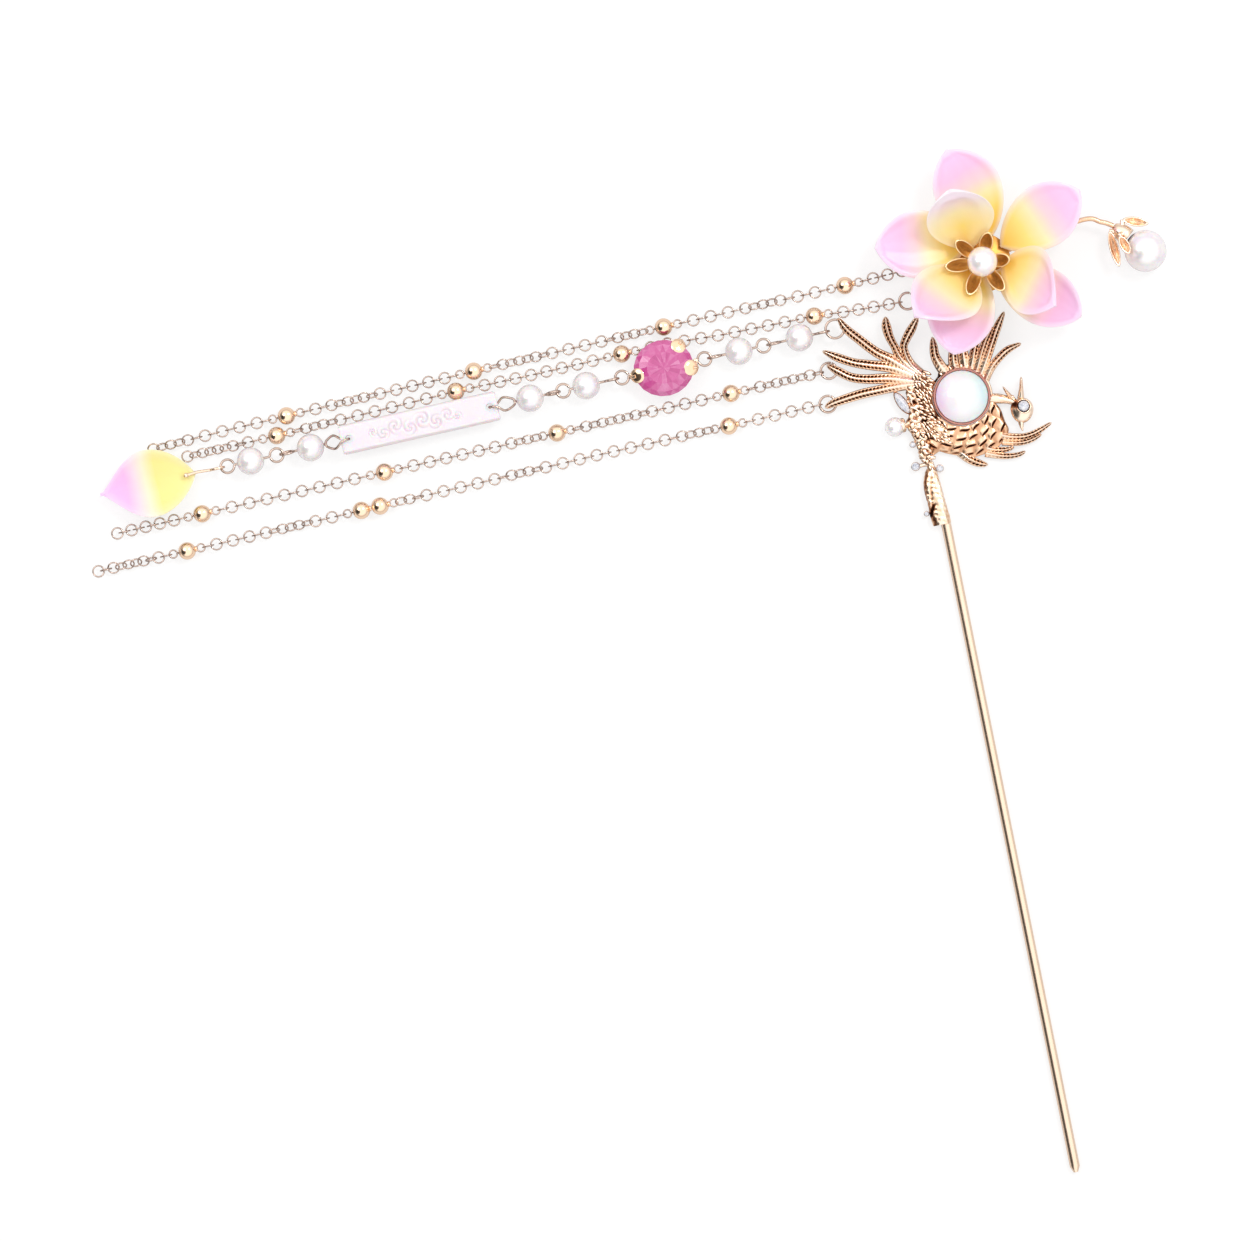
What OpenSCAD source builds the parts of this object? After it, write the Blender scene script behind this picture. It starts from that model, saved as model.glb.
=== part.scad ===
// A hairpin with a cast phoenix, a flower of glass petals and five hanging strands, lying on a table.
// The origin is on the stick's axis at its shoulder. The stick runs along -Y and the strands along -X.

/* [Stick] */
// Diameter of the stick
stick_d = 2.0; // [1.6:0.1:2.6]
// Length from the branch's foot to the tip
stick_len = 132.3; // [110:1:160]
// Length of the tapered end of the tip
stick_taper = 1.2; // [0.8:0.1:2]
// Diameter of the tang inside the branch's foot
tang_d = 1.2; // [0.8:0.1:1.3]
// Length of that tang
tang_len = 7; // [4:0.5:9]

/* [Phoenix] */
// Height of a feather's ridge above its underside
feather_h = 1.3; // [1:0.1:1.6]
// Thickness of the body's plate
body_t = 1.8; // [1.4:0.1:2.2]
// Height of the body's underside above the table
body_z = 0.2; // [0.1:0.1:0.5]
// Height of a scale above the plate
scale_h = 0.9; // [0.6:0.1:1.2]
// Length of a scale
scale_len = 3.3; // [2.8:0.1:4]
// Radius of the bird's head
head_r = 2.3; // [2:0.1:2.6]
// Height of the head's middle above the table
head_z = 1.6; // [1.4:0.1:2]

/* [Cabochon] */
// Diameter of the stone
cabochon_d = 10.4; // [9:0.1:11]
// Height of the stone's straight edge
cabochon_edge = 2.2; // [1.5:0.1:3]
// Height of the stone's dome above that edge
cabochon_dome = 2.6; // [2:0.1:3.5]
// Wall of the bezel around the stone
bezel_wall = 0.5; // [0.4:0.05:0.8]
// Floor of the bezel under the stone
bezel_floor = 0.8; // [0.5:0.1:1.2]
// Diameter of the stone in the bird's head
eye_d = 2.2; // [1.6:0.1:2.6]

/* [Flower] */
// Length of a glass petal along its midrib
petal_len = 19.5; // [17:0.1:21]
// Length of an upturned inner petal along its midrib
inner_len = 17; // [15:0.1:18]
// Width of a glass petal
petal_w = 13.6; // [11:0.1:14.5]
// Thickness of a glass petal at its midrib
petal_t = 1.5; // [1:0.1:1.8]
// Height of the outer petals' bases above the table
petal_z = 5.7; // [5.4:0.1:7]
// Diameter of the hub behind the petals
hub_d = 12; // [9:0.5:14]
// Thickness of the hub
hub_t = 0.8; // [0.5:0.1:1.2]
// Diameter of the frame's wire
frame_d = 1.0; // [0.8:0.1:1.3]
// Diameter of the middle pearl
flower_pearl_d = 6; // [5:0.1:7]
// Length of a leaf of the stamen cap
leaf_len = 5.5; // [4.5:0.1:6]
// Width of a leaf of the stamen cap
leaf_w = 2.5; // [2:0.1:3]
// Depth of a leaf's hollow
leaf_depth = 0.9; // [0.6:0.1:1.2]
// Wall of a leaf
leaf_wall = 0.3; // [0.25:0.05:0.5]
// Diameter of the pin through cap and hub
flower_pin_d = 0.9; // [0.7:0.1:1.2]

/* [Bud] */
// Diameter of the bud's pearl
bud_pearl_d = 8.4; // [7:0.1:9]
// Width of a sepal
sepal_w = 1.9; // [1.5:0.1:2.4]

/* [Branch] */
// Thickness of the branch
branch_t = 2.6; // [2.2:0.1:3.2]
// Diameter of the pearl at the branch's side
branch_pearl_d = 3.9; // [3:0.1:4.5]
// Length of the marquise crystal
marquise_len = 4.9; // [4:0.1:5.5]
// Width of the marquise crystal
marquise_w = 1.8; // [1.4:0.1:2.2]

/* [Chains] */
// Diameter of the chain's wire
link_wire = 0.32; // [0.28:0.01:0.36]
// Outer diameter of a link
link_d = 2.57; // [2.4:0.01:2.8]
// Diameter of a gold bead
bead_d = 3.5; // [3:0.1:4]
// Diameter of the bore through a gold bead
bead_bore = 0.7; // [0.6:0.05:1]
// Outer diameter of the eyes at a gold bead
bead_eye_d = 1.9; // [1.7:0.1:2.2]

/* [Strand] */
// Diameter of the strand's pearls
pearl_d = 5.5; // [5:0.1:6]
// Diameter of the wire of eye pins and jump rings
wire_d = 0.5; // [0.4:0.05:0.6]
// Outer diameter of an eye
eye_loop_d = 3.2; // [3:0.1:3.3]
// Length of the carved bar
bar_len = 32.2; // [28:0.1:34]
// Width of the carved bar
bar_w = 6.0; // [5:0.1:6.1]
// Thickness of the carved bar between its flats
bar_t = 3.4; // [3:0.1:3.8]
// Length of the crystal along the strand
crystal_len = 11.8; // [10:0.1:12.5]
// Width of the crystal
crystal_w = 11.0; // [10:0.1:12]
// Height of the crystal from its back to its table
crystal_h = 4.0; // [3:0.1:5]

/* [Fits] */
// Gap between pieces that sit in or on each other
fit = 0.05; // [0.03:0.01:0.1]
// Gap between wires that hang in each other
hang = 0.12; // [0.1:0.01:0.16]

/* [Hidden] */

gold = "#E0B080";
chain_gold = "#C9A58C";
pearl_white = "#F4F0F4";
petal_pink = "#F4BDE6";

// The table lies under the stick
table_z = -stick_d / 2;

// Thickness of a slice that a hull starts or ends with
slice = 0.02;
// Length of a cut that is taller than what it goes through
through = 12;

// Middle of the cabochon: x, y
cabochon_at = [8.06, 24.4];
bezel_r = cabochon_d / 2 + fit + bezel_wall;
// Radius of the hole for the cup in the body's plate, and the least width of the plate around it
seat_r = bezel_r + 2.4 * fit;
seat_wall = 0.4;

// Tail, wing and crest feathers, each from tip to root. Columns: x, y, underside, half width
tail_feathers = [
    [[-13.2, 44.7, 3.3, 0.35], [-12.0, 42.2, 3.3, 0.85], [-10.0, 39.8, 2.6, 0.95], [-7.0, 36.5, 1.8, 1.0],
        [-4.0, 34.2, 1.2, 1.1], [0.5, 30.0, 0.6, 1.3]],
    [[-17.5, 38.8, 2.2, 0.35], [-15.0, 37.1, 2.0, 0.85], [-12.0, 35.4, 1.8, 0.9], [-9.0, 34.3, 1.5, 1.0],
        [-4.0, 32.6, 0.9, 1.1], [1.0, 29.3, 0.5, 1.2]],
    [[-17.2, 35.9, 1.9, 0.4], [-15.4, 34.4, 1.9, 0.85], [-13.0, 32.6, 1.7, 0.9], [-10.0, 31.6, 1.4, 0.95],
        [-5.0, 30.7, 0.8, 1.1], [1.0, 28.8, 0.5, 1.2]],
    [[-19.2, 27.6, 1.9, 0.45], [-17.0, 28.2, 1.9, 0.85], [-12.0, 28.8, 1.6, 1.0], [-8.0, 28.9, 1.2, 1.0],
        [-4.0, 28.9, 0.8, 1.0], [1.5, 28.6, 0.5, 1.0]],
    [[-3.8, 43.1, 2.6, 0.4], [-4.0, 41.2, 2.4, 0.95], [-3.8, 39.0, 2.0, 0.9], [-3.2, 37.0, 1.6, 0.8],
        [-2.2, 34.0, 1.1, 1.0], [0.5, 30.5, 0.6, 1.0]],
    [[2.5, 41.7, 2.8, 0.45], [0.9, 39.7, 2.5, 0.9], [-0.5, 38.0, 2.1, 0.9], [-1.4, 36.2, 1.6, 0.8],
        [-0.8, 33.0, 1.0, 1.0], [1.5, 29.8, 0.6, 1.0]]
];
wing_feathers = [
    [[4.6, 37.3, 2.4, 0.3], [4.5, 35.5, 2.3, 0.8], [4.4, 33.5, 1.9, 0.95], [5.0, 31.5, 1.3, 1.1],
        [6.0, 29.5, 0.8, 1.2]],
    [[8.6, 35.5, 1.6, 0.7], [7.8, 32.0, 1.3, 1.0], [8.0, 29.5, 0.6, 1.1]],
    [[11.2, 37.6, 1.6, 0.9], [10.2, 34.6, 1.6, 1.1], [9.8, 29.5, 0.6, 1.1]],
    [[13.8, 36.4, 1.8, 0.6], [12.2, 32.6, 1.5, 0.9], [10.9, 29.4, 0.6, 1.0]],
    [[16.8, 36.9, 2.4, 0.4], [15.0, 34.6, 2.1, 0.7], [13.4, 31.8, 1.6, 0.75], [12.0, 29.0, 0.8, 0.8]],
    [[19.7, 39.4, 2.6, 0.3], [18.0, 37.0, 2.6, 0.8], [16.5, 34.5, 2.2, 0.85], [14.5, 31.0, 1.5, 0.9],
        [12.6, 27.9, 0.8, 0.9]],
    [[21.8, 32.5, 2.4, 0.35], [19.0, 31.8, 2.2, 0.75], [17.0, 30.6, 1.9, 0.8], [15.0, 28.9, 1.4, 0.85],
        [13.3, 26.6, 0.8, 0.8]]
];
lower_feathers = [
    [[24.7, 15.8, 1.2, 0.3], [22.0, 14.7, 1.2, 0.6], [20.0, 14.2, 1.1, 0.65], [18.0, 14.2, 1.0, 0.7],
        [15.0, 15.0, 0.7, 0.8], [12.5, 16.5, 0.4, 0.9]],
    [[22.3, 13.9, 1.0, 0.3], [20.0, 13.2, 0.9, 0.55], [17.5, 13.1, 0.8, 0.6], [14.2, 13.9, 0.5, 0.7]],
    [[16.4, 12.4, 0.8, 0.35], [14.5, 12.3, 0.7, 0.55], [12.5, 12.7, 0.5, 0.7], [10.5, 13.6, 0.4, 0.8]],
    [[18.5, 11.2, 0.9, 0.3], [17.0, 10.8, 0.8, 0.5], [15.0, 10.9, 0.7, 0.6], [13.0, 11.4, 0.6, 0.7],
        [10.5, 12.4, 0.4, 0.8]],
    [[10.6, 10.0, 0.7, 0.35], [9.0, 10.6, 0.6, 0.75], [7.2, 11.8, 0.4, 0.9], [5.6, 13.6, 0.3, 1.0]]
];
head_feathers = [
    [[12.9, 22.4, 0.5, 0.7], [14.2, 22.3, 0.7, 0.6], [16.0, 22.1, 0.8, 0.55], [17.8, 21.5, 0.8, 0.7],
        [19.3, 20.3, 0.5, 1.2]],
    [[20.5, 26.0, 1.5, 0.25], [20.1, 24.0, 1.4, 0.4], [19.6, 21.8, 1.0, 0.7]],
    [[16.5, 24.8, 1.4, 0.2], [17.2, 23.3, 1.3, 0.35], [18.2, 21.6, 1.0, 0.5]]
];
head_at = [19.4, 19.6];
beak_at = [18.7, 15.3];
eye_at = [19.8, 20.1];
// Height of the seat of the head's stone
eye_seat_z = head_z + head_r * 0.6 - 0.75;

// Outline of the bird's body: x, y
body_outline = [
    [-0.5, 15.4], [1.7, 14.5], [3.0, 13.8], [5.0, 13.0], [7.2, 12.1], [10.0, 12.2], [12.0, 12.6], [14.5, 13.9],
    [16.0, 16.0], [15.6, 18.0], [15.2, 20.5], [14.2, 22.5], [13.9, 25.6], [13.4, 28.0], [11.5, 30.6],
    [8.0, 31.3], [5.0, 30.9], [3.6, 28.6], [1.0, 30.2], [-0.5, 29.8]
];
// Rows of scales around the cabochon. Columns: radius, first angle, last angle
scale_rows = [[7.1, 200, 330], [9.2, 212, 322], [11.1, 230, 304]];

// Seam between branch and bird, seen from above: x, y
seam_x = -0.55;
seam_y = 27.95;
branch_zone = [
    [-12, -6], [1.9, -6], [1.9, 13.2], [0.4, 14.2], [seam_x, 15.0], [seam_x, seam_y], [-12, seam_y]
];
// Sections of the branch from its top to its foot. Columns: x, y, half width, share of the thickness
branch_rows = [
    [-1.6, 28.4, 1.05, 0.8], [-1.5, 25.0, 1.15, 0.8], [-1.6, 23.2, 1.15, 0.95], [-2.2, 21.4, 1.7, 1.0],
    [-1.9, 19.0, 1.4, 0.95], [-1.5, 17.0, 1.2, 0.9], [-1.3, 15.0, 1.3, 0.95], [-1.4, 13.9, 1.1, 0.9],
    [-1.1, 12.8, 0.85, 0.8], [-0.7, 11.9, 0.7, 0.75], [-0.9, 11.0, 1.1, 0.85], [-1.2, 9.0, 1.6, 0.95],
    [-1.2, 7.0, 1.8, 1.0], [-1.05, 5.0, 1.8, 1.0], [-0.95, 3.0, 1.85, 1.0], [-0.85, 1.2, 1.85, 1.0],
    [-0.8, fit, 1.75, 0.95]
];
// Slots in its top. Columns: x, y, length, width, depth
slots = [[-2.3, 3.05, 3.2, 0.4, 0.7], [-1.6, 25.2, 3.4, 0.7, 1.02]];
slot_turns = [64, 86];
// Spur at its right side. Columns: x, y, diameter
spur = [[-1.0, 13.6, 1.4], [0.5, 13.4, 0.8]];
// How far a knot runs down the branch
knot_run = 1.1;
// Knots of its bark. Columns: x, y, diameter, sideways run
knots = [
    [-2.6, 22.4, 1.3, 0.5], [-1.4, 22.6, 1.2, 0.3], [-2.7, 20.4, 1.3, 0.3], [-1.5, 20.2, 1.3, -0.3],
    [-2.0, 18.3, 1.3, 0.3], [-1.3, 16.6, 1.2, -0.3], [-1.7, 14.9, 1.2, 0.3], [-1.0, 6.9, 1.4, -0.2]
];
branch_pearl_at = [-6.3, 21.1];
// Height of the girdles of the branch's stones
stone_z = branch_t * 0.62;
marquise_at = [-3.9, 25.5];
marquise_turn = 24;
// Depth of a tray's underside below a stone's girdle, thickness of the tray, and what stands around the stone
tray_depth = 0.75;
tray_t = 0.3;
tray_rim = 0.1;
// Root of the marquise's tray in the branch. Columns: x, diameter
marquise_root = [-1.8, 1.6];
// Small stones of the branch. Columns: x, y, diameter, x of the branch's middle there
small_stones = [[-3.7, 12.5, 1.7, -1.2], [0.95, 11.2, 1.5, -0.6], [-3.4, 16.9, 1.2, -1.6], [-3.4, 2.8, 1.0, -1.5]];

// Middle of the flower, and the place where its spine meets the bird
flower_at = [17.0, 49.8];
spine_foot = [10.6, 36.2];
// Forms of petals. Columns: length, share of it from the base to the widest place, power of the tip's curve
outer_form = [petal_len, 0.57, 0.7];
inner_form = [inner_len, 0.5, 0.9];
upper_form = [inner_len, 0.5, 0.5];
drop_form = [petal_len, 0.49, 1.35];
// Outer petals. Columns: base x, base y, lift of the base, azimuth, tilt, curl, cup, sideways run of the tip,
// share of the width
outer_petals = [
    [20.4, 54.8, 0, 108, 4, 10, 1.6, 0, 1],
    [21.4, 52.2, 0.1, 24, 4, 10, 1.6, 0, 0.94],
    [19.4, 47.6, 0, -39.5, 3, 8, 1.6, 0, 0.86],
    [14.9, 51.0, 0, 249, 2, 6, 1.4, 0, 1],
    [15.8, 54.7, 0.1, 174, 4, 10, 1.6, 0, 1]
];
// Inner petals, with the same columns
inner_petals = [
    [15.1, 52.7, 2.2, 95, 12, 60, 2.0, 0.8, 1.0],
    [14.7, 49.1, 2.15, 222, 12, 32, 2.0, -3.2, 1.02],
    [20.9, 48.9, 2.3, -36, 14, 48, 2.0, -3.8, 0.98]
];
// Places of a petal's sections along its midrib, as shares of its length
petal_shares = [0, 0.08, 0.26, 0.5, 0.72, 0.89, 1];
// Leaves of the stamen cap. Columns: azimuth, share of the length
leaves = [[131, 0.95], [67, 0.82], [-6, 0.72], [-65, 1.03], [-124, 1.03], [177, 1.1]];

// Middle height of the frame's wires, and what stands on it
frame_z = petal_z - petal_t / 2 - 0.35 - frame_d / 2;
hub_top = petal_z - petal_t * 0.42;
cap_z = petal_z + inner_petals[0][2] + petal_t / 2 + 0.35;
flower_pearl_z = cap_z + leaf_wall + fit + flower_pearl_d / 2;

// Route of the bud's stem behind the flower: x, y
stem_route = [[20.5, 50.8], [37.7, 54.2], [42.2, 53.1], [44.4, 51.9]];
bud_pearl_at = [49.7, 45.7];
bud_foot = [44.4, 51.9];
// Sepals. Columns: x, y, height, azimuth, length
sepals = [[43.4, 51.0, 4.0, 274, 7.4], [46.4, 52.7, 4.2, -20, 5.2], [45.0, 49.6, 7.0, -72, 4.2]];

// Chains lie with their links clear of the table
chain_z = link_d / 2 + 0.05;
link_r = (link_d - link_wire) / 2;
// Longest step between links that hang in each other
link_pitch = 2 * link_r - link_wire - hang;
// Half a turn of a link's slow twist along the chain, and how far it twists
twist_wave = 36;
twist = 40;
tube_d = link_d - link_wire;

// Jump rings. Columns: x, y, radius of the wire's middle
ring_1_at = [5.0, 51.6, 1.6];
ring_2_at = [1.2, 45.3, 1.65];
ring_3_at = [-17.0, 34.7, 1.6];
ring_4_at = [-18.5, 28.2, 1.65];
ring_5_at = [-14.2, 42.65, 1.85];
ring_z = chain_z;

// Routes of the chains, from their rings: x, y
chain_1_route = [[5, 51.6], [-10.5, 50.8], [-47.7, 49.8], [-86.7, 48.6], [-125.2, 47.2], [-138.7, 46.7], [-153, 45.9]];
chain_2_route = [
    [1, 45.3], [-10, 45.6], [-17.7, 46.0], [-37, 46.0], [-47, 46.4], [-52, 46.3], [-75, 45.6], [-91, 45.35],
    [-115, 44.3], [-127.9, 43.7], [-147, 43.1]
];
chain_3_route = [[-17, 34.7], [-37.1, 34.1], [-72.8, 33.2], [-108.2, 32.3], [-145.6, 31.3], [-163, 30.8]];
chain_4_route = [[-18.5, 28.4], [-38.8, 27.8], [-65, 27.3], [-89, 26.5], [-133, 25.1], [-150, 24.6], [-168.2, 24.1]];
// Gold beads of the chains. Columns: x of the middle, number of beads side by side
chain_1_beads = [[-10.5, 1], [-47.7, 1], [-86.7, 1], [-125.2, 1]];
chain_2_beads = [[-17.7, 1], [-57, 1], [-91, 1], [-127.9, 1]];
chain_3_beads = [[-37.1, 1], [-72.8, 1], [-108.2, 1], [-145.6, 1]];
chain_4_beads = [[-38.8, 1], [-112.3, 2], [-150, 1]];
// Left ends of the chains
chain_1_end = -152.6;
chain_2_end = -146.2;
chain_3_end = -163;
chain_4_end = -168.2;
// Length over which a chain rises to a bead
bead_lift = 8;
// Gap between two beads side by side
bead_gap = 0.35;

// The middle strand is one straight line: a place on it, and its turn
strand_at = [-84.2, 40.88];
strand_turn = 1.33;
strand_z = pearl_d / 2;
// Where the eyes of neighbours hang in each other, from the bird to the strand's end
hooks = [-15.75, -27.8, -39.9, -58.9, -70.95, -127.6, -139.75];
// Pearls. Columns: x, hook on the right, roll of that eye, hook on the left, roll of that eye
pearl_rows = [
    [-21.5, 0, 90, 1, 84], [-33.9, 1, 0, 2, 84], [-65.2, 3, 90, 4, 0],
    [-76.7, 4, 80, -1, 0], [-121.7, -1, 0, 5, 80], [-134.0, 5, 0, 6, 8]
];
eye_r = (eye_loop_d - wire_d) / 2;
// Distance between the middles of two wires that hang in each other
hook_gap = wire_d + hang;
bar_x = -99.4;
bar_z = strand_z + 0.5;
// Distance of the bar's holes from its ends, and their diameter
bar_hole_in = 1.7;
bar_hole_d = wire_d + 0.9;
// Half width of a bar loop where it is widest
bar_loop_side = 1.95;
// Distance from a pearl's middle to where the bar's loop leaves its neck
loop_neck = pearl_d / 2 + 0.4;
crystal_x = -49.3;
crystal_z = 1.8;
// Claws of the crystal: angles around its middle
claw_angles = [44, 184, -12];
claw_d = 1.0;
drop_x = -155.1;
drop_z = 1.35;
drop_cup = 2.6;
// Distance of the drop's hole from its base
drop_hole_in = 1.9;
drop_ball_d = 1.1;

// Point on the smooth curve through b and c, at share t between them
function between(a, b, c, d, t) =
    (2 * b + (c - a) * t + (2 * a - 5 * b + 4 * c - d) * t * t + (3 * b - a - 3 * c + d) * t * t * t) / 2;

// Closed smooth curve through the points p, with n steps for each
function closed_curve(p, n) = [
    for (i = [0 : len(p) - 1], k = [0 : n - 1])
        between(p[(i + len(p) - 1) % len(p)], p[i], p[(i + 1) % len(p)], p[(i + 2) % len(p)], k / n)
];

function unit(v) = v / norm(v);

// Height of the strand's line at x
function strand_y(x) = strand_at[1] + (x - strand_at[0]) * tan(strand_turn);

// Faces between two neighbouring loops of m points, that start at points a and b
function band(a, b, m) = [
    for (k = [0 : m - 1], half = [0, 1])
        half == 0 ? [a + k, b + k, b + (k + 1) % m] : [a + k, b + (k + 1) % m, a + (k + 1) % m]
];

// Faces that close a loop of m points, which go out along one side and back along the other
function lid(a, m, turned) = [
    for (k = [0 : m / 2 - 2], half = [0, 1])
        let (f = half == 0 ? [a + k, a + k + 1, a + m - 2 - k] : [a + k, a + m - 2 - k, a + m - 1 - k])
            turned ? [f[0], f[2], f[1]] : f
];

// A closed skin over loops of points, with a lid on the first and the last
module skin(loops) {
    m = len(loops[0]);
    last = len(loops) - 1;
    polyhedron(
        points = [for (loop = loops, p = loop) p],
        faces = concat(
            [for (i = [0 : last - 1], f = band(i * m, (i + 1) * m, m)) f],
            lid(0, m, false),
            lid(last * m, m, true)
        ),
        convexity = 6
    );
}

// A closed ring of loops of points
module ring_skin(loops) {
    m = len(loops[0]);
    n = len(loops);
    polyhedron(
        points = [for (loop = loops, p = loop) p],
        faces = [for (i = [0 : n - 1], f = band(i * m, ((i + 1) % n) * m, m)) f],
        convexity = 4
    );
}

// One meshed link in the XY plane
module link() {
    ring_skin([
        for (i = [0 : 9]) [
            for (k = [0 : 4])
                let (r = link_r + link_wire / 2 * cos(72 * k))
                    [r * cos(36 * i), r * sin(36 * i), -link_wire / 2 * sin(72 * k)]
        ]
    ]);
}

// A ball with a bore along the X axis
module drilled_ball(d, bore) {
    rotate([0, 90, 0]) rotate_extrude($fn = 64) intersection() {
        circle(d = d, $fn = 64);
        translate([bore / 2, -d]) square([d, 2 * d]);
    }
}

// An exact wire ring in the XY plane
module wire_ring(r, d) {
    rotate_extrude($fn = 48) translate([r, 0]) circle(d = d, $fn = 24);
}

// What stands on the table
module on_table() {
    translate([0, 0, table_z]) children();
}

// Something at x on the strand's line, turned along it
module on_strand(x) {
    on_table() translate([x, strand_y(x), strand_z]) rotate([0, 0, strand_turn]) children();
}

// Shares of a feather's half width and height, around its section
feather_profile = [[1, 0], [0.4, 1], [-0.4, 1], [-1, 0]];

// A feather with a ridge along its middle, through rows of x, y, underside and half width
module feather(rows, high) {
    last = len(rows) - 1;
    skin([
        for (i = [0 : last])
            let (
                a = rows[max(i - 1, 0)],
                b = rows[min(i + 1, last)],
                left = unit([a[1] - b[1], b[0] - a[0]]) * rows[i][3]
            ) [
                for (q = feather_profile)
                    [rows[i][0] + left[0] * q[0], rows[i][1] + left[1] * q[0], rows[i][2] + high * q[1]]
            ]
    ]);
}

// An upright lug for the right side of a jump ring
module ring_lug(ring, z) {
    lug_wire = wire_d * 0.8;
    translate([ring[0] + ring[2], ring[1], z])
        rotate([90, 0, 0])
            rotate_extrude($fn = 8)
                translate([wire_d / 2 + lug_wire / 2 + 0.2, 0])
                    circle(d = lug_wire, $fn = 4);
}

module scales() {
    for (row = scale_rows) {
        count = round(row[0] * (row[2] - row[1]) * PI / 180 / scale_len);
        step = (row[2] - row[1]) / count;
        for (i = [0 : count - 1]) {
            base = row[1] + step * i;
            translate([cabochon_at[0], cabochon_at[1], body_z + body_t - 0.4]) hull() {
                rotate([0, 0, base]) translate([row[0], 0, 0])
                    cylinder(r1 = 0.85, r2 = 0.4, h = 0.4 + scale_h * 0.6, $fn = 4);
                rotate([0, 0, base + step * 1.2]) translate([row[0] + 0.2, 0, 0])
                    cylinder(r1 = 0.4, r2 = 0.2, h = 0.4 + scale_h, $fn = 3);
            }
        }
    }
}

module head() {
    hull() {
        translate([head_at[0], head_at[1], head_z]) scale([1, 1, 0.6]) sphere(r = head_r, $fn = 10);
        translate([head_at[0] - 0.6, head_at[1] - 1.9, head_z]) scale([1, 1, 0.7]) sphere(r = 1.1, $fn = 8);
    }
    hull() {
        translate([head_at[0] - 0.6, head_at[1] - 2.0, head_z]) sphere(r = 0.75, $fn = 6);
        translate([beak_at[0], beak_at[1], head_z - 0.3]) sphere(r = 0.2, $fn = 4);
    }
}

module phoenix() {
    color(gold) on_table() difference() {
        union() {
            for (rows = concat(tail_feathers, wing_feathers, lower_feathers, head_feathers)) {
                feather(rows, feather_h);
            }
            translate([0, 0, body_z]) linear_extrude(body_t) {
                polygon(body_outline);
                translate(cabochon_at) circle(r = seat_r + seat_wall, $fn = 24);
            }
            scales();
            head();
            ring_lug(ring_3_at, ring_z);
            ring_lug(ring_4_at, ring_z);
            ring_lug(ring_5_at, strand_z);
        }
        translate([cabochon_at[0], cabochon_at[1], -1]) cylinder(r = seat_r, h = through, $fn = 24);
        translate([0, 0, -1]) linear_extrude(through) polygon(branch_zone);
        translate([eye_at[0], eye_at[1], eye_seat_z]) cylinder(d = eye_d + 4 * fit, h = through, $fn = 12);
        translate([spine_foot[0], spine_foot[1], -1])
            cylinder(d = frame_d * 0.8 + 4 * fit, h = through, $fn = 12);
    }
}

module bezel() {
    color("#B07A68") on_table() translate([cabochon_at[0], cabochon_at[1], 0]) difference() {
        cylinder(r = bezel_r, h = bezel_floor + cabochon_edge, $fn = 96);
        translate([0, 0, bezel_floor]) cylinder(d = cabochon_d + 2 * fit, h = 9, $fn = 96);
    }
}

module cabochon() {
    // Radius of the sphere whose cap is the dome
    ball_r = (pow(cabochon_d / 2, 2) + pow(cabochon_dome, 2)) / (2 * cabochon_dome);
    color("#E8F0F8") on_table() translate([cabochon_at[0], cabochon_at[1], bezel_floor + fit]) intersection() {
        cylinder(d = cabochon_d, h = cabochon_edge + cabochon_dome + 1, $fn = 96);
        translate([0, 0, cabochon_edge + cabochon_dome - ball_r]) sphere(r = ball_r, $fn = 96);
    }
}

// A round brilliant of diameter d with a table, its girdle at the origin
module brilliant(d, up, down) {
    // Columns: share of the diameter, height, half step of the turn
    rows = [[0.4, -down, 0], [1, -0.04 * d, 1], [0.86, up * 0.5, 0], [0.56, up, 1]];
    skin([
        for (row = rows) [
            for (k = [0 : 7])
                let (a = 45 * k + 22.5 * row[2]) [d / 2 * row[0] * cos(a), d / 2 * row[0] * sin(a), row[1]]
        ]
    ]);
}

module eye_stone() {
    color("white") on_table() translate([eye_at[0], eye_at[1], eye_seat_z + fit + 0.4])
        brilliant(eye_d, 0.6, 0.4);
}

// Shares of the branch's half width and height, around its section
branch_profile = [[0.6, 0], [1, 0.25], [1, 0.6], [0.5, 1], [-0.5, 1], [-1, 0.6], [-1, 0.25], [-0.6, 0]];

module branch_body() {
    skin([
        for (row = branch_rows)
            [for (q = branch_profile) [row[0] + row[2] * q[0], row[1], branch_t * row[3] * q[1]]]
    ]);
}

// A tray at the branch's side, that carries a stone
module stone_tray(x, y, d, root) {
    hull() {
        translate([x, y, stone_z - tray_depth]) cylinder(d = d + tray_rim, h = tray_t, $fn = 8);
        translate([root, y, stone_z - tray_depth * 4 / 3]) cylinder(d = d * 0.7, h = tray_t * 5 / 3, $fn = 6);
    }
}

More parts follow.
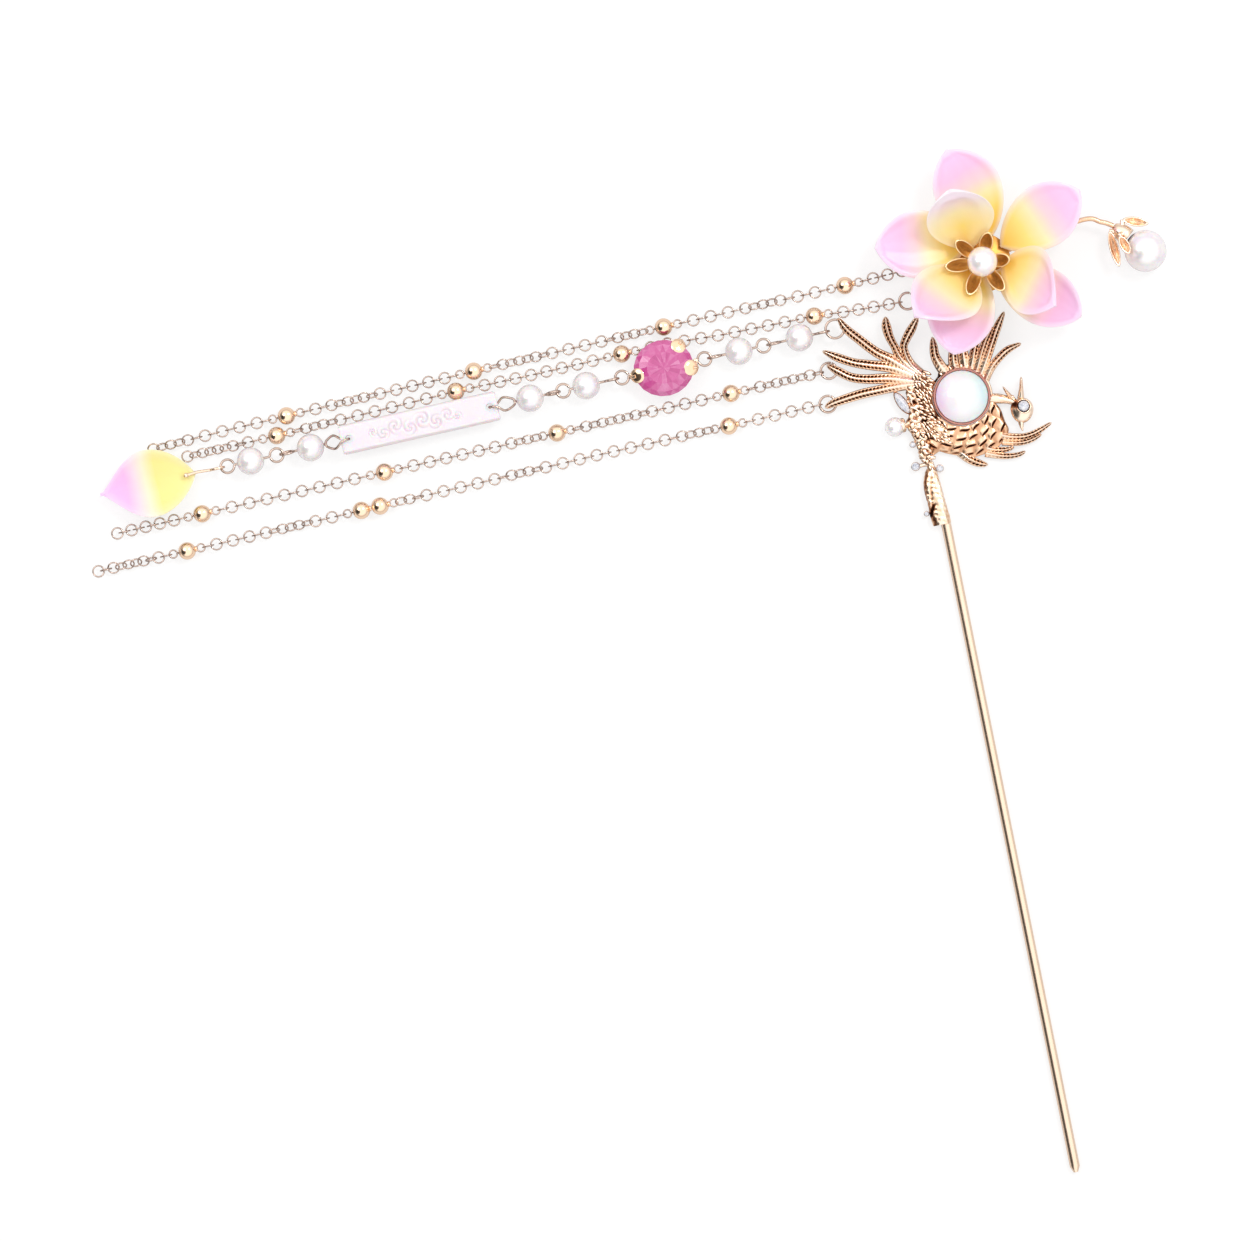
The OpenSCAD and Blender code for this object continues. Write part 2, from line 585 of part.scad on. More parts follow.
module branch() {
    color(gold) on_table() difference() {
        union() {
            branch_body();
            for (k = knots) {
                hull() {
                    translate([k[0], k[1], branch_t * 0.6])
                        cylinder(d1 = k[2] * 1.3, d2 = k[2] * 0.6, h = branch_t * 0.5, $fn = 5);
                    translate([k[0] + k[3], k[1] - knot_run, branch_t * 0.6])
                        cylinder(d1 = k[2], d2 = k[2] * 0.3, h = branch_t * 0.35, $fn = 4);
                }
            }
            for (s = small_stones) stone_tray(s[0], s[1], s[2], s[3]);
            hull() {
                translate([marquise_at[0], marquise_at[1], stone_z - tray_depth]) rotate([0, 0, marquise_turn])
                    linear_extrude(tray_t) leaf_outline(marquise_w + 2 * tray_rim, marquise_len + 2 * tray_rim);
                translate([marquise_root[0], marquise_at[1], stone_z - tray_depth * 4 / 3])
                    cylinder(d = marquise_root[1], h = tray_t * 5 / 3, $fn = 6);
            }
            hull() {
                translate([spur[0][0], spur[0][1], branch_t * 0.2])
                    cylinder(d = spur[0][2], h = branch_t * 0.5, $fn = 6);
                translate([spur[1][0], spur[1][1], branch_t * 0.3])
                    cylinder(d = spur[1][2], h = branch_t * 0.3, $fn = 6);
            }
        }
        translate([0, 0, -1]) linear_extrude(through) difference() {
            square(10 * through, center = true);
            offset(delta = -fit) polygon(branch_zone);
        }
        translate([0, -1, stick_d / 2]) rotate([-90, 0, 0])
            cylinder(d = tang_d + 4 * fit, h = tang_len + 1 + fit, $fn = 14);
        for (i = [0, 1]) {
            translate([slots[i][0], slots[i][1], branch_t]) rotate([0, 0, slot_turns[i]])
                cube([slots[i][2], slots[i][3], 2 * slots[i][4]], center = true);
        }
        cap_bore();
    }
}

// Where the pin of the branch's pearl goes into the branch
module cap_bore() {
    translate([branch_pearl_at[0], branch_pearl_at[1], branch_pearl_d / 2]) rotate([0, 90, 0])
        cylinder(d = wire_d + 4 * fit, h = branch_pearl_d / 2 + 2.2, $fn = 10);
}

module stick() {
    color(gold) rotate([90, 0, 0]) {
        cylinder(d = stick_d, h = stick_len - stick_taper, $fn = 48);
        translate([0, 0, stick_len - stick_taper])
            cylinder(d1 = stick_d, d2 = stick_d * 0.45, h = stick_taper, $fn = 48);
        translate([0, 0, -tang_len]) cylinder(d = tang_d, h = tang_len, $fn = 48);
    }
}

module branch_pearl() {
    color(pearl_white) on_table() translate([branch_pearl_at[0], branch_pearl_at[1], branch_pearl_d / 2])
        difference() {
            sphere(d = branch_pearl_d, $fn = 48);
            rotate([0, 90, 0]) cylinder(d = wire_d + 2 * fit, h = branch_pearl_d, $fn = 24);
        }
}

// The cap hugs the pearl's right side, with a pin through pearl and branch
module branch_pearl_cap() {
    cup_r = branch_pearl_d * 0.36;
    back = branch_pearl_d / 2 + 0.3;
    color(gold) on_table() translate([branch_pearl_at[0], branch_pearl_at[1], branch_pearl_d / 2])
        rotate([0, 90, 0]) rotate_extrude($fn = 48) {
            difference() {
                translate([0, branch_pearl_d * 0.25]) square([cup_r, back - branch_pearl_d * 0.25]);
                circle(d = branch_pearl_d + 2 * fit, $fn = 48);
            }
            translate([0, 0.3]) square([wire_d / 2, back + 1]);
        }
}

// A pointed oval across the origin, w wide and l long
module leaf_outline(w, l) {
    polygon([
        for (side = [1, -1], i = [0 : 3])
            let (y = side * (1 - i / 2)) [side * w / 2 * (1 - y * y), y * l / 2]
    ]);
}

module branch_stone_1() {
    // Columns: share of the size, height
    rows = [[0.45, -0.45], [1, -0.12], [1, 0], [0.8, 0.35], [0.5, 0.6]];
    color("#C8D4E0") on_table() translate([marquise_at[0], marquise_at[1], stone_z + fit])
        rotate([0, 0, marquise_turn])
            skin([
                for (row = rows) [
                    for (k = [0 : 9])
                        let (a = 36 * k - 90, x = cos(a), y = sin(a))
                            [marquise_w / 2 * row[0] * x * abs(x), marquise_len / 2 * row[0] * y, row[1]]
                ]
            ]);
}

module small_stone(i) {
    s = small_stones[i];
    color("#D8D8E4") on_table() translate([s[0], s[1], stone_z + fit]) brilliant(s[2], 0.5, 0.45);
}

// Half width of a petal at share u of its midrib, as a share of its half width
function petal_half(u, form) = max(
    0.05,
    u < form[1]
        ? pow(max(1 - pow((form[1] - u) / form[1], 2), 0), 0.8)
        : pow(max(1 - pow((u - form[1]) / (1 - form[1]), 2), 0), form[2])
);

// A point of a petal: share u along it, share v across it, side 1 on top and -1 below.
// The bend is tilt, curl, cup, the tip's sideways run and the share of the width
function petal_point(u, v, side, form, bend) =
    let (
        turn = bend[1] * PI / 180,
        angle = bend[0] + bend[1] * u,
        half = petal_half(u, form),
        up = bend[2] * v * v * half + side * petal_t / 2 * (1 - 0.6 * v * v) * (0.45 + 0.55 * half),
        x = form[0] * (sin(angle) - sin(bend[0])) / turn,
        z = form[0] * (cos(bend[0]) - cos(angle)) / turn
    )
    [x - up * sin(angle), v * bend[4] * petal_w / 2 * half + bend[3] * u * u, z + up * cos(angle)];

// A cupped glass petal from its base at the origin along +X
module petal_shape(form, bend) {
    across = [-1, -0.55, 0, 0.55, 1];
    skin([
        for (u = petal_shares)
            concat(
                [for (v = across) petal_point(u, -v, 1, form, bend)],
                [for (v = across) petal_point(u, v, -1, form, bend)]
            )
    ]);
}

module petal(row, form) {
    color(petal_pink) on_table() translate([row[0], row[1], petal_z + row[2]]) rotate([0, 0, row[3]])
        petal_shape(form, [row[4], row[5], row[6], row[7], row[8]]);
}

// A knee that joins two bars of diameter d
module knee_ball(at, d) {
    translate(at) sphere(d = d * 1.15, $fn = 24);
}

// A straight round bar between two points
module rod(a, b, d) {
    way = b - a;
    translate(a) rotate([0, acos(way[2] / norm(way)), atan2(way[1], way[0])]) cylinder(d = d, h = norm(way), $fn = 24);
}

// An arm of the frame, down to the lug of a jump ring
module ring_arm(ring) {
    lug_wire = wire_d * 0.8;
    lug_r = wire_d / 2 + lug_wire / 2 + 0.15;
    x = ring[0] + ring[2];
    start = [flower_at[0], flower_at[1], frame_z];
    knee = [x + 2.5, ring[1], frame_z];
    rod(start, knee, frame_d);
    knee_ball(knee, frame_d);
    rod(knee, [x, ring[1], ring_z + lug_r], frame_d * 0.5);
    translate([x, ring[1], ring_z]) rotate([90, 0, 0]) wire_ring(lug_r, lug_wire);
}

module flower_frame() {
    stem_end = len(stem_route) - 1;
    color(gold) on_table() difference() {
        union() {
            translate([flower_at[0], flower_at[1], hub_top - hub_t]) cylinder(d = hub_d, h = hub_t, $fn = 64);
            rod([flower_at[0], flower_at[1], frame_z], [spine_foot[0], spine_foot[1], frame_z], frame_d);
            knee_ball([spine_foot[0], spine_foot[1], frame_z], frame_d);
            translate([spine_foot[0], spine_foot[1], 0.3])
                cylinder(d = frame_d * 0.8, h = frame_z - 0.3, $fn = 24);
            for (i = [0 : stem_end - 1]) {
                rod(
                    [stem_route[i][0], stem_route[i][1], frame_z],
                    [stem_route[i + 1][0], stem_route[i + 1][1], frame_z],
                    frame_d
                );
                knee_ball([stem_route[i + 1][0], stem_route[i + 1][1], frame_z], frame_d);
            }
            ring_arm(ring_1_at);
            ring_arm(ring_2_at);
        }
        translate([flower_at[0], flower_at[1], 0]) cylinder(d = flower_pin_d + 2 * fit, h = 12, $fn = 32);
    }
}

// A hollow pointed leaf from the origin along +X, open above
module leaf_cup(l, w) {
    shrink = 2 * leaf_wall;
    translate([l / 2, 0, 0]) rotate([0, 0, 90]) difference() {
        hull() {
            linear_extrude(slice) leaf_outline(w * 0.45, l * 0.6);
            translate([0, 0, leaf_depth]) linear_extrude(slice) leaf_outline(w, l);
        }
        hull() {
            translate([0, 0, leaf_wall]) linear_extrude(slice)
                leaf_outline((w - shrink) * 0.45, (l - shrink * 1.6) * 0.6);
            translate([0, 0, leaf_depth + slice]) linear_extrude(0.1) leaf_outline(w - shrink, l - shrink * 1.6);
        }
    }
}

module flower_cap() {
    leaf_in = flower_pearl_d * 0.38;
    color(gold) on_table() translate([flower_at[0], flower_at[1], cap_z]) difference() {
        union() {
            cylinder(r = leaf_in + 0.8, h = leaf_wall, $fn = 12);
            for (leaf = leaves) {
                rotate([0, 0, leaf[0]]) translate([leaf_in - 0.4, 0, -0.4]) rotate([0, -22, 0])
                    leaf_cup(leaf_len * leaf[1] + 0.4, leaf_w);
            }
        }
        translate([0, 0, -1]) cylinder(d = flower_pin_d + 4 * fit, h = 3, $fn = 12);
    }
}

module flower_pearl() {
    color(pearl_white) on_table() translate([flower_at[0], flower_at[1], flower_pearl_z]) difference() {
        sphere(d = flower_pearl_d, $fn = 64);
        translate([0, 0, -flower_pearl_d]) cylinder(d = flower_pin_d + 2 * fit, h = flower_pearl_d + 1, $fn = 32);
    }
}

// Its flat head lies under the frame's wires
module flower_pin() {
    foot = frame_z - frame_d / 2 - fit - 0.5;
    color(gold) on_table() translate([flower_at[0], flower_at[1], foot]) {
        cylinder(d = flower_pin_d, h = flower_pearl_z - foot, $fn = 32);
        cylinder(d = flower_pin_d * 2, h = 0.5, $fn = 32);
    }
}

module bud_cap() {
    foot = [bud_foot[0], bud_foot[1], frame_z];
    pearl = [bud_pearl_at[0], bud_pearl_at[1], bud_pearl_d / 2];
    way = unit(pearl - foot);
    color(gold) on_table() difference() {
        union() {
            hull() {
                translate(foot + 0.9 * way) sphere(d = 1.6, $fn = 6);
                translate(foot + 2.2 * way) sphere(d = 3.5, $fn = 8);
                translate(foot + 3.4 * way) sphere(d = 3.5, $fn = 6);
            }
            for (s = sepals) {
                hull() {
                    translate([s[0], s[1], s[2] + 0.4]) sphere(d = 1.0, $fn = 6);
                    translate(foot + 2.2 * way) sphere(d = 1.4, $fn = 6);
                }
                translate([s[0], s[1], s[2]]) rotate([0, 0, s[3]]) leaf_cup(s[4], sepal_w);
            }
        }
        knee_ball(foot, frame_d + 4 * fit);
        translate(pearl) sphere(d = bud_pearl_d + 10 * fit, $fn = 16);
    }
}

module bud_pearl() {
    color(pearl_white) on_table() translate([bud_pearl_at[0], bud_pearl_at[1], bud_pearl_d / 2])
        sphere(d = bud_pearl_d, $fn = 64);
}

module jump_ring(ring, z) {
    color(gold) on_table() translate([ring[0], ring[1], z]) wire_ring(ring[2], wire_d);
}

// A chain's slow twist at x, from its first link
function chain_roll(x, first) = twist * sin(360 * (x - first) / twist_wave);

// Half length that a group of beads and its eyes take, to the middle of the next link
function group_reach(count) =
    count * bead_d / 2 + (count - 1) * bead_gap / 2 + 0.3 + (bead_eye_d - link_wire) - link_wire - hang + link_r;

// A group of drilled gold beads on one pin with an eye at each end
module bead_group(count) {
    half = count * bead_d / 2 + (count - 1) * bead_gap / 2;
    eye = (bead_eye_d - link_wire) / 2;
    for (i = [0 : count - 1]) {
        translate([(i - (count - 1) / 2) * (bead_d + bead_gap), 0, 0]) drilled_ball(bead_d, bead_bore);
    }
    rotate([0, 90, 0]) cylinder(d = link_wire, h = 2 * half + 0.6, center = true, $fn = 24);
    for (side = [-1, 1]) {
        translate([side * (half + 0.3 + eye), 0, 0]) wire_ring(eye, link_wire);
    }
}

// Height of a chain's middle at x: it lies on the table, and rises to the middle of each bead
function chain_height(x, beads) = chain_z + (bead_d / 2 - chain_z)
    * max([for (b = beads) pow(cos(90 * min(max(abs(x - b[0]) - (b[1] - 1) * bead_d / 2, 0) / bead_lift, 1)), 2)]);

// Something at x on a chain's route, turned along it and rolled around it
module on_chain(route, beads, x, roll) {
    step = 0.5;
    rise = lookup(x + step, route) - lookup(x - step, route);
    translate([x, lookup(x, route), chain_height(x, beads)])
        rotate([0, 0, atan2(rise, 2 * step)])
            rotate([roll, 0, 0])
                children();
}

// Interlocking links from the middle of the first to the middle of the last
module link_run(route, beads, from, to, first) {
    steps = 2 * ceil((from - to) / link_pitch / 2);
    for (i = [0 : steps]) {
        x = from + (to - from) * i / steps;
        on_chain(route, beads, x, 90 * ((i + 1) % 2) + chain_roll(x, first)) link();
    }
}

// A chain of real links from its jump ring, with groups of beads
module link_chain(route, beads, ring, end) {
    first = ring[0] - ring[2] + (wire_d + link_wire) / 2 + hang - link_r;
    starts = concat([first], [for (b = beads) b[0] - group_reach(b[1])]);
    ends = concat([for (b = beads) b[0] + group_reach(b[1])], [end]);
    color(chain_gold) on_table() {
        for (i = [0 : len(starts) - 1]) link_run(route, beads, starts[i], ends[i], first);
        for (b = beads) on_chain(route, beads, b[0], chain_roll(b[0], first)) bead_group(b[1]);
    }
}

// A chain whose fine links are left out: a tube along its route, through its beads
module tube_chain(route, beads, ring, end) {
    start = ring[0] - ring[2] - wire_d / 2 - hang;
    stops = concat([start], [for (b = beads) b[0]], [end]);
    // A ring at each bead, and between them one about every three diameters
    places = concat([
        for (i = [0 : len(stops) - 2])
            let (n = ceil((stops[i] - stops[i + 1]) / (2.8 * tube_d)))
                for (k = [0 : n - 1]) stops[i] + (stops[i + 1] - stops[i]) * k / n
    ], [end]);
    color(chain_gold) on_table() {
        skin([
            for (x = places) [
                for (k = [0 : 7])
                    [
                        x,
                        lookup(x, route) - tube_d / 2 * cos(45 * k),
                        chain_height(x, beads) + tube_d / 2 * sin(45 * k)
                    ]
            ]
        ]);
        for (b = beads) on_chain(route, beads, b[0], 0) drilled_ball(bead_d, tube_d + 4 * hang);
    }
}

module pearl(i) {
    color(pearl_white) on_strand(pearl_rows[i][0]) drilled_ball(pearl_d, wire_d + 2 * fit);
}

// A pin's eye on the side of its bead where side is 1 or -1, with the neck back to the bead
module pin_eye(reach, side, roll) {
    translate([side * (reach - eye_r), 0, 0]) rotate([roll, 0, 0]) wire_ring(eye_r, wire_d);
    translate([side * (reach - 2 * eye_r) / 2, 0, 0]) rotate([0, 90, 0])
        cylinder(d = wire_d * 0.9, h = reach - 2 * eye_r, center = true, $fn = 24);
}

// The wire loop that goes from a pearl over the bar, down its hole and back below. The hole is at the origin
module bar_loop(reach, side) {
    lift = bar_t / 2 + wire_d / 2 + hang + 0.05;
    sink = bar_z - strand_z;
    out = bar_hole_in + 0.5;
    route = [
        [0, 0, 0], [0.1, 0, lift * 0.7], [0.75, 0.1, lift + 0.02], [out * 0.75, 0.4, lift],
        [out + 0.8, bar_loop_side * 0.7, lift * 0.75], [reach - 0.3, bar_loop_side * 0.35, -sink + 0.35],
        [reach, 0, -sink],
        [reach - 0.3, -bar_loop_side * 0.35, -sink - 0.35], [out + 0.8, -bar_loop_side * 0.7, -lift * 0.8],
        [out * 0.75, -0.4, -lift], [0.75, -0.1, -lift - 0.02], [0.1, 0, -lift * 0.7]
    ];
    path = closed_curve([for (p = route) [side * p[0], -p[1], p[2]]], 2);
    n = len(path);
    middle = [side * reach / 2, 0, 0];
    ring_skin([
        for (i = [0 : n - 1])
            let (
                way = unit(path[(i + 1) % n] - path[(i + n - 1) % n]),
                out_way = unit(path[i] - middle),
                across = unit(cross(way, out_way)),
                level = cross(across, way)
            ) [
                for (k = [0 : 4])
                    path[i] + wire_d / 2 * (cos(72 * k) * level + sin(72 * k) * across)
            ]
    ]);
}

module pearl_pin(i) {
    row = pearl_rows[i];
    bar_hole = bar_x + (row[1] < 0 ? -1 : 1) * (bar_len / 2 - bar_hole_in);
    color(gold) {
        on_strand(row[0]) {
            if (row[1] >= 0) pin_eye(hooks[row[1]] - row[0] + hook_gap / 2, 1, row[2]);
            if (row[3] >= 0) pin_eye(row[0] - hooks[row[3]] + hook_gap / 2, -1, row[4]);
        }
        if (row[1] < 0 || row[3] < 0) {
            side = row[1] < 0 ? 1 : -1;
            on_strand(row[0]) rotate([0, 90 * side, 0]) cylinder(d = wire_d, h = loop_neck + 0.1, $fn = 24);
            on_strand(bar_hole) translate([0, 0, bar_z - strand_z])
                bar_loop(abs(bar_hole - row[0]) - loop_neck, -side);
        }
    }
}

module carved_bar() {
    color("#F2EEF2") on_strand(bar_x) translate([0, 0, bar_z - strand_z]) difference() {
        intersection() {
            rotate([0, 90, 0]) cylinder(d = bar_w, h = bar_len, center = true, $fn = 64);
            cube([bar_len + 1, bar_w + 1, bar_t], center = true);
        }
        for (side = [-1, 1]) {
            translate([side * (bar_len / 2 - bar_hole_in), 0, 0])
                cylinder(d = bar_hole_d, h = bar_t + 2, center = true, $fn = 32);
        }
    }
}

module crystal() {
    // Columns: share of the size, share of the height, half step of the turn
    rows = [[0.5, 0, 0], [0.86, 0.22, 1], [1, 0.42, 0], [1, 0.5, 0], [0.82, 0.78, 1], [0.58, 1, 0]];
    color("#D84890") on_strand(crystal_x) translate([0, 0, crystal_z - strand_z]) skin([
        for (row = rows) [
            for (k = [0 : 11])
                let (a = 30 * k + 15 * row[2])
                    [crystal_len / 2 * row[0] * cos(a), crystal_w / 2 * row[0] * sin(a), crystal_h * row[1]]
        ]
    ]);
}

// Claws on sloping arms reach over the crystal's girdle, and the eyes stand at both ends
module crystal_setting() {
    plate_z = crystal_z - strand_z - 0.6;
    edge = crystal_len / 2 + 0.15 + claw_d / 2;
    claw_foot = crystal_h * 0.26 + 0.6;
    claw_top = crystal_h * 0.72 + 0.7;
    color(gold) on_strand(crystal_x) {
        translate([0, 0, plate_z]) {
            cylinder(d = crystal_w * 0.48, h = 0.6 - fit, $fn = 48);
            translate([-edge, -claw_d * 0.35, 0.1]) cube([2 * edge, claw_d * 0.7, 0.45 - fit]);
            for (a = claw_angles) {
                r = 1 / sqrt(pow(cos(a) * 2 / crystal_len, 2) + pow(sin(a) * 2 / crystal_w, 2));
                out = r + 0.15 + claw_d / 2;
                rotate([0, 0, a]) {
                    rod([crystal_w * 0.2, 0, 0], [out, 0, claw_foot + 0.05], claw_d * 0.45);
                    translate([out, 0, claw_foot]) cylinder(d = claw_d, h = claw_top - claw_foot, $fn = 24);
                    translate([out, 0, claw_top - 0.1]) sphere(d = claw_d * 1.3, $fn = 24);
                }
            }
        }
        for (side = [-1, 1]) {
            hook = side > 0 ? hooks[2] : hooks[3];
            reach = abs(hook - crystal_x) + hook_gap / 2;
            neck = reach - 2 * eye_r - edge + 0.1;
            translate([side * (reach - eye_r), 0, 0]) wire_ring(eye_r, wire_d);
            translate([side * (edge + neck / 2), 0, 0]) rotate([0, 90, 0])
                cylinder(d = wire_d * 0.9, h = neck, center = true, $fn = 24);
            translate([side * edge, 0, plate_z]) cylinder(d = claw_d, h = 0.6 - plate_z, $fn = 24);
        }
    }
}

module petal_drop() {
    base = drop_x + petal_len / 2;
    color(petal_pink) on_strand(base) difference() {
        translate([0, 0, drop_z - strand_z]) rotate([0, 0, 180]) petal_shape(drop_form, [2, 4, drop_cup, 0, 1]);
        translate([-drop_hole_in, 0, 0]) cylinder(d = wire_d + 0.4, h = 20, center = true, $fn = 24);
    }
}

// An eye, a straight wire over the petal's base and a ball at its hole, with a peg through the hole
module petal_drop_pin() {
    base = drop_x + petal_len / 2;
    hole_x = base - drop_hole_in;
    hook = hooks[6];
    ball_z = drop_z + petal_t / 2 + drop_ball_d / 2 + 0.25 - strand_z;
    color(gold) {
        on_strand(hook) {
            translate([hook_gap / 2 - eye_r, 0, 0]) rotate([90, 0, 0]) wire_ring(eye_r, wire_d);
            rod(
                [hook_gap / 2 - 2 * eye_r, 0, 0],
                [hole_x - hook, 0, ball_z],
                wire_d
            );
        }
        on_strand(hole_x) {
            translate([0, 0, ball_z]) sphere(d = drop_ball_d, $fn = 32);
            translate([0, 0, 0.2 - strand_z]) cylinder(d = wire_d, h = ball_z + strand_z - 0.2, $fn = 24);
            translate([0, 0, 0.2 - strand_z]) cylinder(d = drop_ball_d, h = 0.25, $fn = 24);
        }
    }
}

stick();
branch();
phoenix();
bezel();
cabochon();
eye_stone();
branch_pearl();
branch_pearl_cap();
branch_stone_1();
small_stone(0);  // branch_stone_2
small_stone(1);  // branch_stone_3
small_stone(2);  // branch_stone_4
small_stone(3);  // branch_stone_5
flower_frame();
petal(outer_petals[0], outer_form);  // petal_1
petal(outer_petals[1], outer_form);  // petal_2
petal(outer_petals[2], outer_form);  // petal_3
petal(outer_petals[3], outer_form);  // petal_4
petal(outer_petals[4], outer_form);  // petal_5
petal(inner_petals[0], upper_form);  // petal_6
petal(inner_petals[1], inner_form);  // petal_7
petal(inner_petals[2], inner_form);  // petal_8
flower_cap();
flower_pearl();
flower_pin();
bud_cap();
bud_pearl();
jump_ring(ring_1_at, ring_z);  // ring_1
jump_ring(ring_2_at, ring_z);  // ring_2
jump_ring(ring_3_at, ring_z);  // ring_3
jump_ring(ring_4_at, ring_z);  // ring_4
jump_ring(ring_5_at, strand_z);  // ring_5
tube_chain(chain_1_route, chain_1_beads, ring_1_at, chain_1_end);  // chain_1
tube_chain(chain_2_route, chain_2_beads, ring_2_at, chain_2_end);  // chain_2
tube_chain(chain_3_route, chain_3_beads, ring_3_at, chain_3_end);  // chain_3
link_chain(chain_4_route, chain_4_beads, ring_4_at, chain_4_end);  // chain_4
pearl(0);  // pearl_1
pearl(1);  // pearl_2
pearl(2);  // pearl_3
pearl(3);  // pearl_4
pearl(4);  // pearl_5
pearl(5);  // pearl_6
pearl_pin(0);  // pearl_pin_1
pearl_pin(1);  // pearl_pin_2
pearl_pin(2);  // pearl_pin_3
pearl_pin(3);  // pearl_pin_4
pearl_pin(4);  // pearl_pin_5
pearl_pin(5);  // pearl_pin_6
crystal();
crystal_setting();
carved_bar();
petal_drop();
petal_drop_pin();
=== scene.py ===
import math

import bpy
import numpy as np
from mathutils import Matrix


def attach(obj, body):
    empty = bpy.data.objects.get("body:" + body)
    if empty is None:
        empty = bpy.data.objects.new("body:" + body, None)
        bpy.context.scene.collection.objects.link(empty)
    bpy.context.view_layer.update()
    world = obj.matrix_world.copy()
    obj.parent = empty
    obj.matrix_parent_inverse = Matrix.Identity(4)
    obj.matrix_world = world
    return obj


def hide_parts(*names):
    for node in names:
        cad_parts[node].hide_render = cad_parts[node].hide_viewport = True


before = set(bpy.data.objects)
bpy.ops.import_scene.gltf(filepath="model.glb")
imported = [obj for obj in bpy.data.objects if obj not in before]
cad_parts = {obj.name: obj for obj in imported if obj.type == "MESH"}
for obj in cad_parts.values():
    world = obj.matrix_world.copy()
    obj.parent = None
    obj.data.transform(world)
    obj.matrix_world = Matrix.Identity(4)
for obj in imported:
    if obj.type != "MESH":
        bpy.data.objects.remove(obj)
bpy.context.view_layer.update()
print("loaded", len(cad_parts), "nodes")

# Lengths are in millimetres, and heights are above the table until a mesh is made
mm = 0.001
tableHeight = -1.0  # the table, seen from the stick's axis


# Camera: straight above, turned as the photo is, through a long lens. It frames a square over the table
view = {
    "middle": (-67.7, -6.1), "side": 248.2, "plane": 3.0, "turn": -11.34, "lens": 300, "sensor": 36,
    "far": 20,
}
camera = bpy.data.objects.new("camera", bpy.data.cameras.new("camera"))
bpy.context.scene.collection.objects.link(camera)
camera.data.lens = view["lens"]
camera.data.sensor_width = view["sensor"]
camera.data.clip_end = view["far"]
distance = view["side"] * view["lens"] / view["sensor"]
camera.location = np.array([*view["middle"], distance + tableHeight + view["plane"]]) * mm
camera.rotation_euler = (0, 0, math.radians(view["turn"]))
bpy.context.scene.camera = camera
bpy.context.scene.view_settings.view_transform = "Standard"
print("camera")


# Small tools for meshes

def gridFaces(rows, cols, closeRows=False, closeCols=False):
    # Four-cornered faces between neighbours of a grid that is stored row after row
    i = np.arange(rows if closeRows else rows - 1)[:, None]
    j = np.arange(cols if closeCols else cols - 1)[None, :]
    below, right = (i + 1) % rows, (j + 1) % cols
    faces = [i * cols + j, i * cols + right, below * cols + right, below * cols + j]
    return np.stack(faces, -1).reshape(-1, 4)


def outward(part):
    # The cones from the middle to each face add up to the volume. Below zero, all faces are turned over
    points = part["points"] - part["points"].mean(0)
    volume = 0.0
    for faces in part["faces"]:
        for k in range(1, faces.shape[1] - 1):
            a, b, c = points[faces[:, 0]], points[faces[:, k]], points[faces[:, k + 1]]
            volume += float(np.einsum("ij,ij->", a, np.cross(b, c)))
    if volume < 0:
        part["faces"] = [faces[:, ::-1] for faces in part["faces"]]
    return part


def skinOf(rings, closed=False, marks=None):
    # A skin over rings of points, one after the other. Open ends are closed with a fan round their middle
    rings = np.asarray(rings, float)
    rows, cols = rings.shape[:2]
    points = rings.reshape(-1, 3)
    marks = {key: np.broadcast_to(value, (rows, cols)).reshape(-1) for key, value in (marks or {}).items()}
    faces = [gridFaces(rows, cols, closed, True)]
    if not closed:
        points = np.vstack([points, rings[[0, -1]].mean(1)])
        k, start = np.arange(cols), (rows - 1) * cols
        after = (k + 1) % cols
        first = np.stack([np.full(cols, rows * cols), after, k], -1)
        last = np.stack([np.full(cols, rows * cols + 1), start + k, start + after], -1)
        faces.append(np.vstack([first, last]))
        marks = {
            key: np.append(value, [value[:cols].mean(), value[-cols:].mean()]) for key, value in marks.items()
        }
    return outward({"points": points, "faces": faces, "marks": marks})


def smoothLine(points, steps, closed=False):
    # A curve through the points: between two of them each number follows the cubic that their neighbours set
    p = np.asarray(points, float)
    if closed:
        before, start, after, later = np.roll(p, 1, 0), p, np.roll(p, -1, 0), np.roll(p, -2, 0)
    else:
        padded = np.vstack([2 * p[0] - p[1], p, 2 * p[-1] - p[-2]])
        before, start, after, later = padded[:-3], padded[1:-2], padded[2:-1], padded[3:]
    before, start, after, later = (q[:, None, :] for q in (before, start, after, later))
    t = (np.arange(steps) / steps)[None, :, None]
    curve = (
        2 * start + (after - before) * t + (2 * before - 5 * start + 4 * after - later) * t ** 2
        + (3 * start - before - 3 * after + later) * t ** 3
    ) / 2
    curve = curve.reshape(-1, p.shape[1])
    return curve if closed else np.vstack([curve, p[-1]])


def unit(vectors):
    return vectors / np.maximum(np.linalg.norm(vectors, axis=-1, keepdims=True), 1e-9)


def wire(path, radius, sides=12, closed=False, up=(0, 0, 1), marks=None):
    # A circle carried along a path, square to it, with one of its axes level with the up direction
    path = np.asarray(path, float)
    way = unit(np.roll(path, -1, 0) - np.roll(path, 1, 0)) if closed else unit(np.gradient(path, axis=0))
    side = unit(np.cross(np.asarray(up, float), way))
    top = np.cross(way, side)
    turn = 2 * np.pi * np.arange(sides) / sides
    radius = np.broadcast_to(radius, len(path))[:, None, None]
    ring = np.cos(turn)[None, :, None] * side[:, None, :] + np.sin(turn)[None, :, None] * top[:, None, :]
    return skinOf(path[:, None, :] + radius * ring, closed, marks)


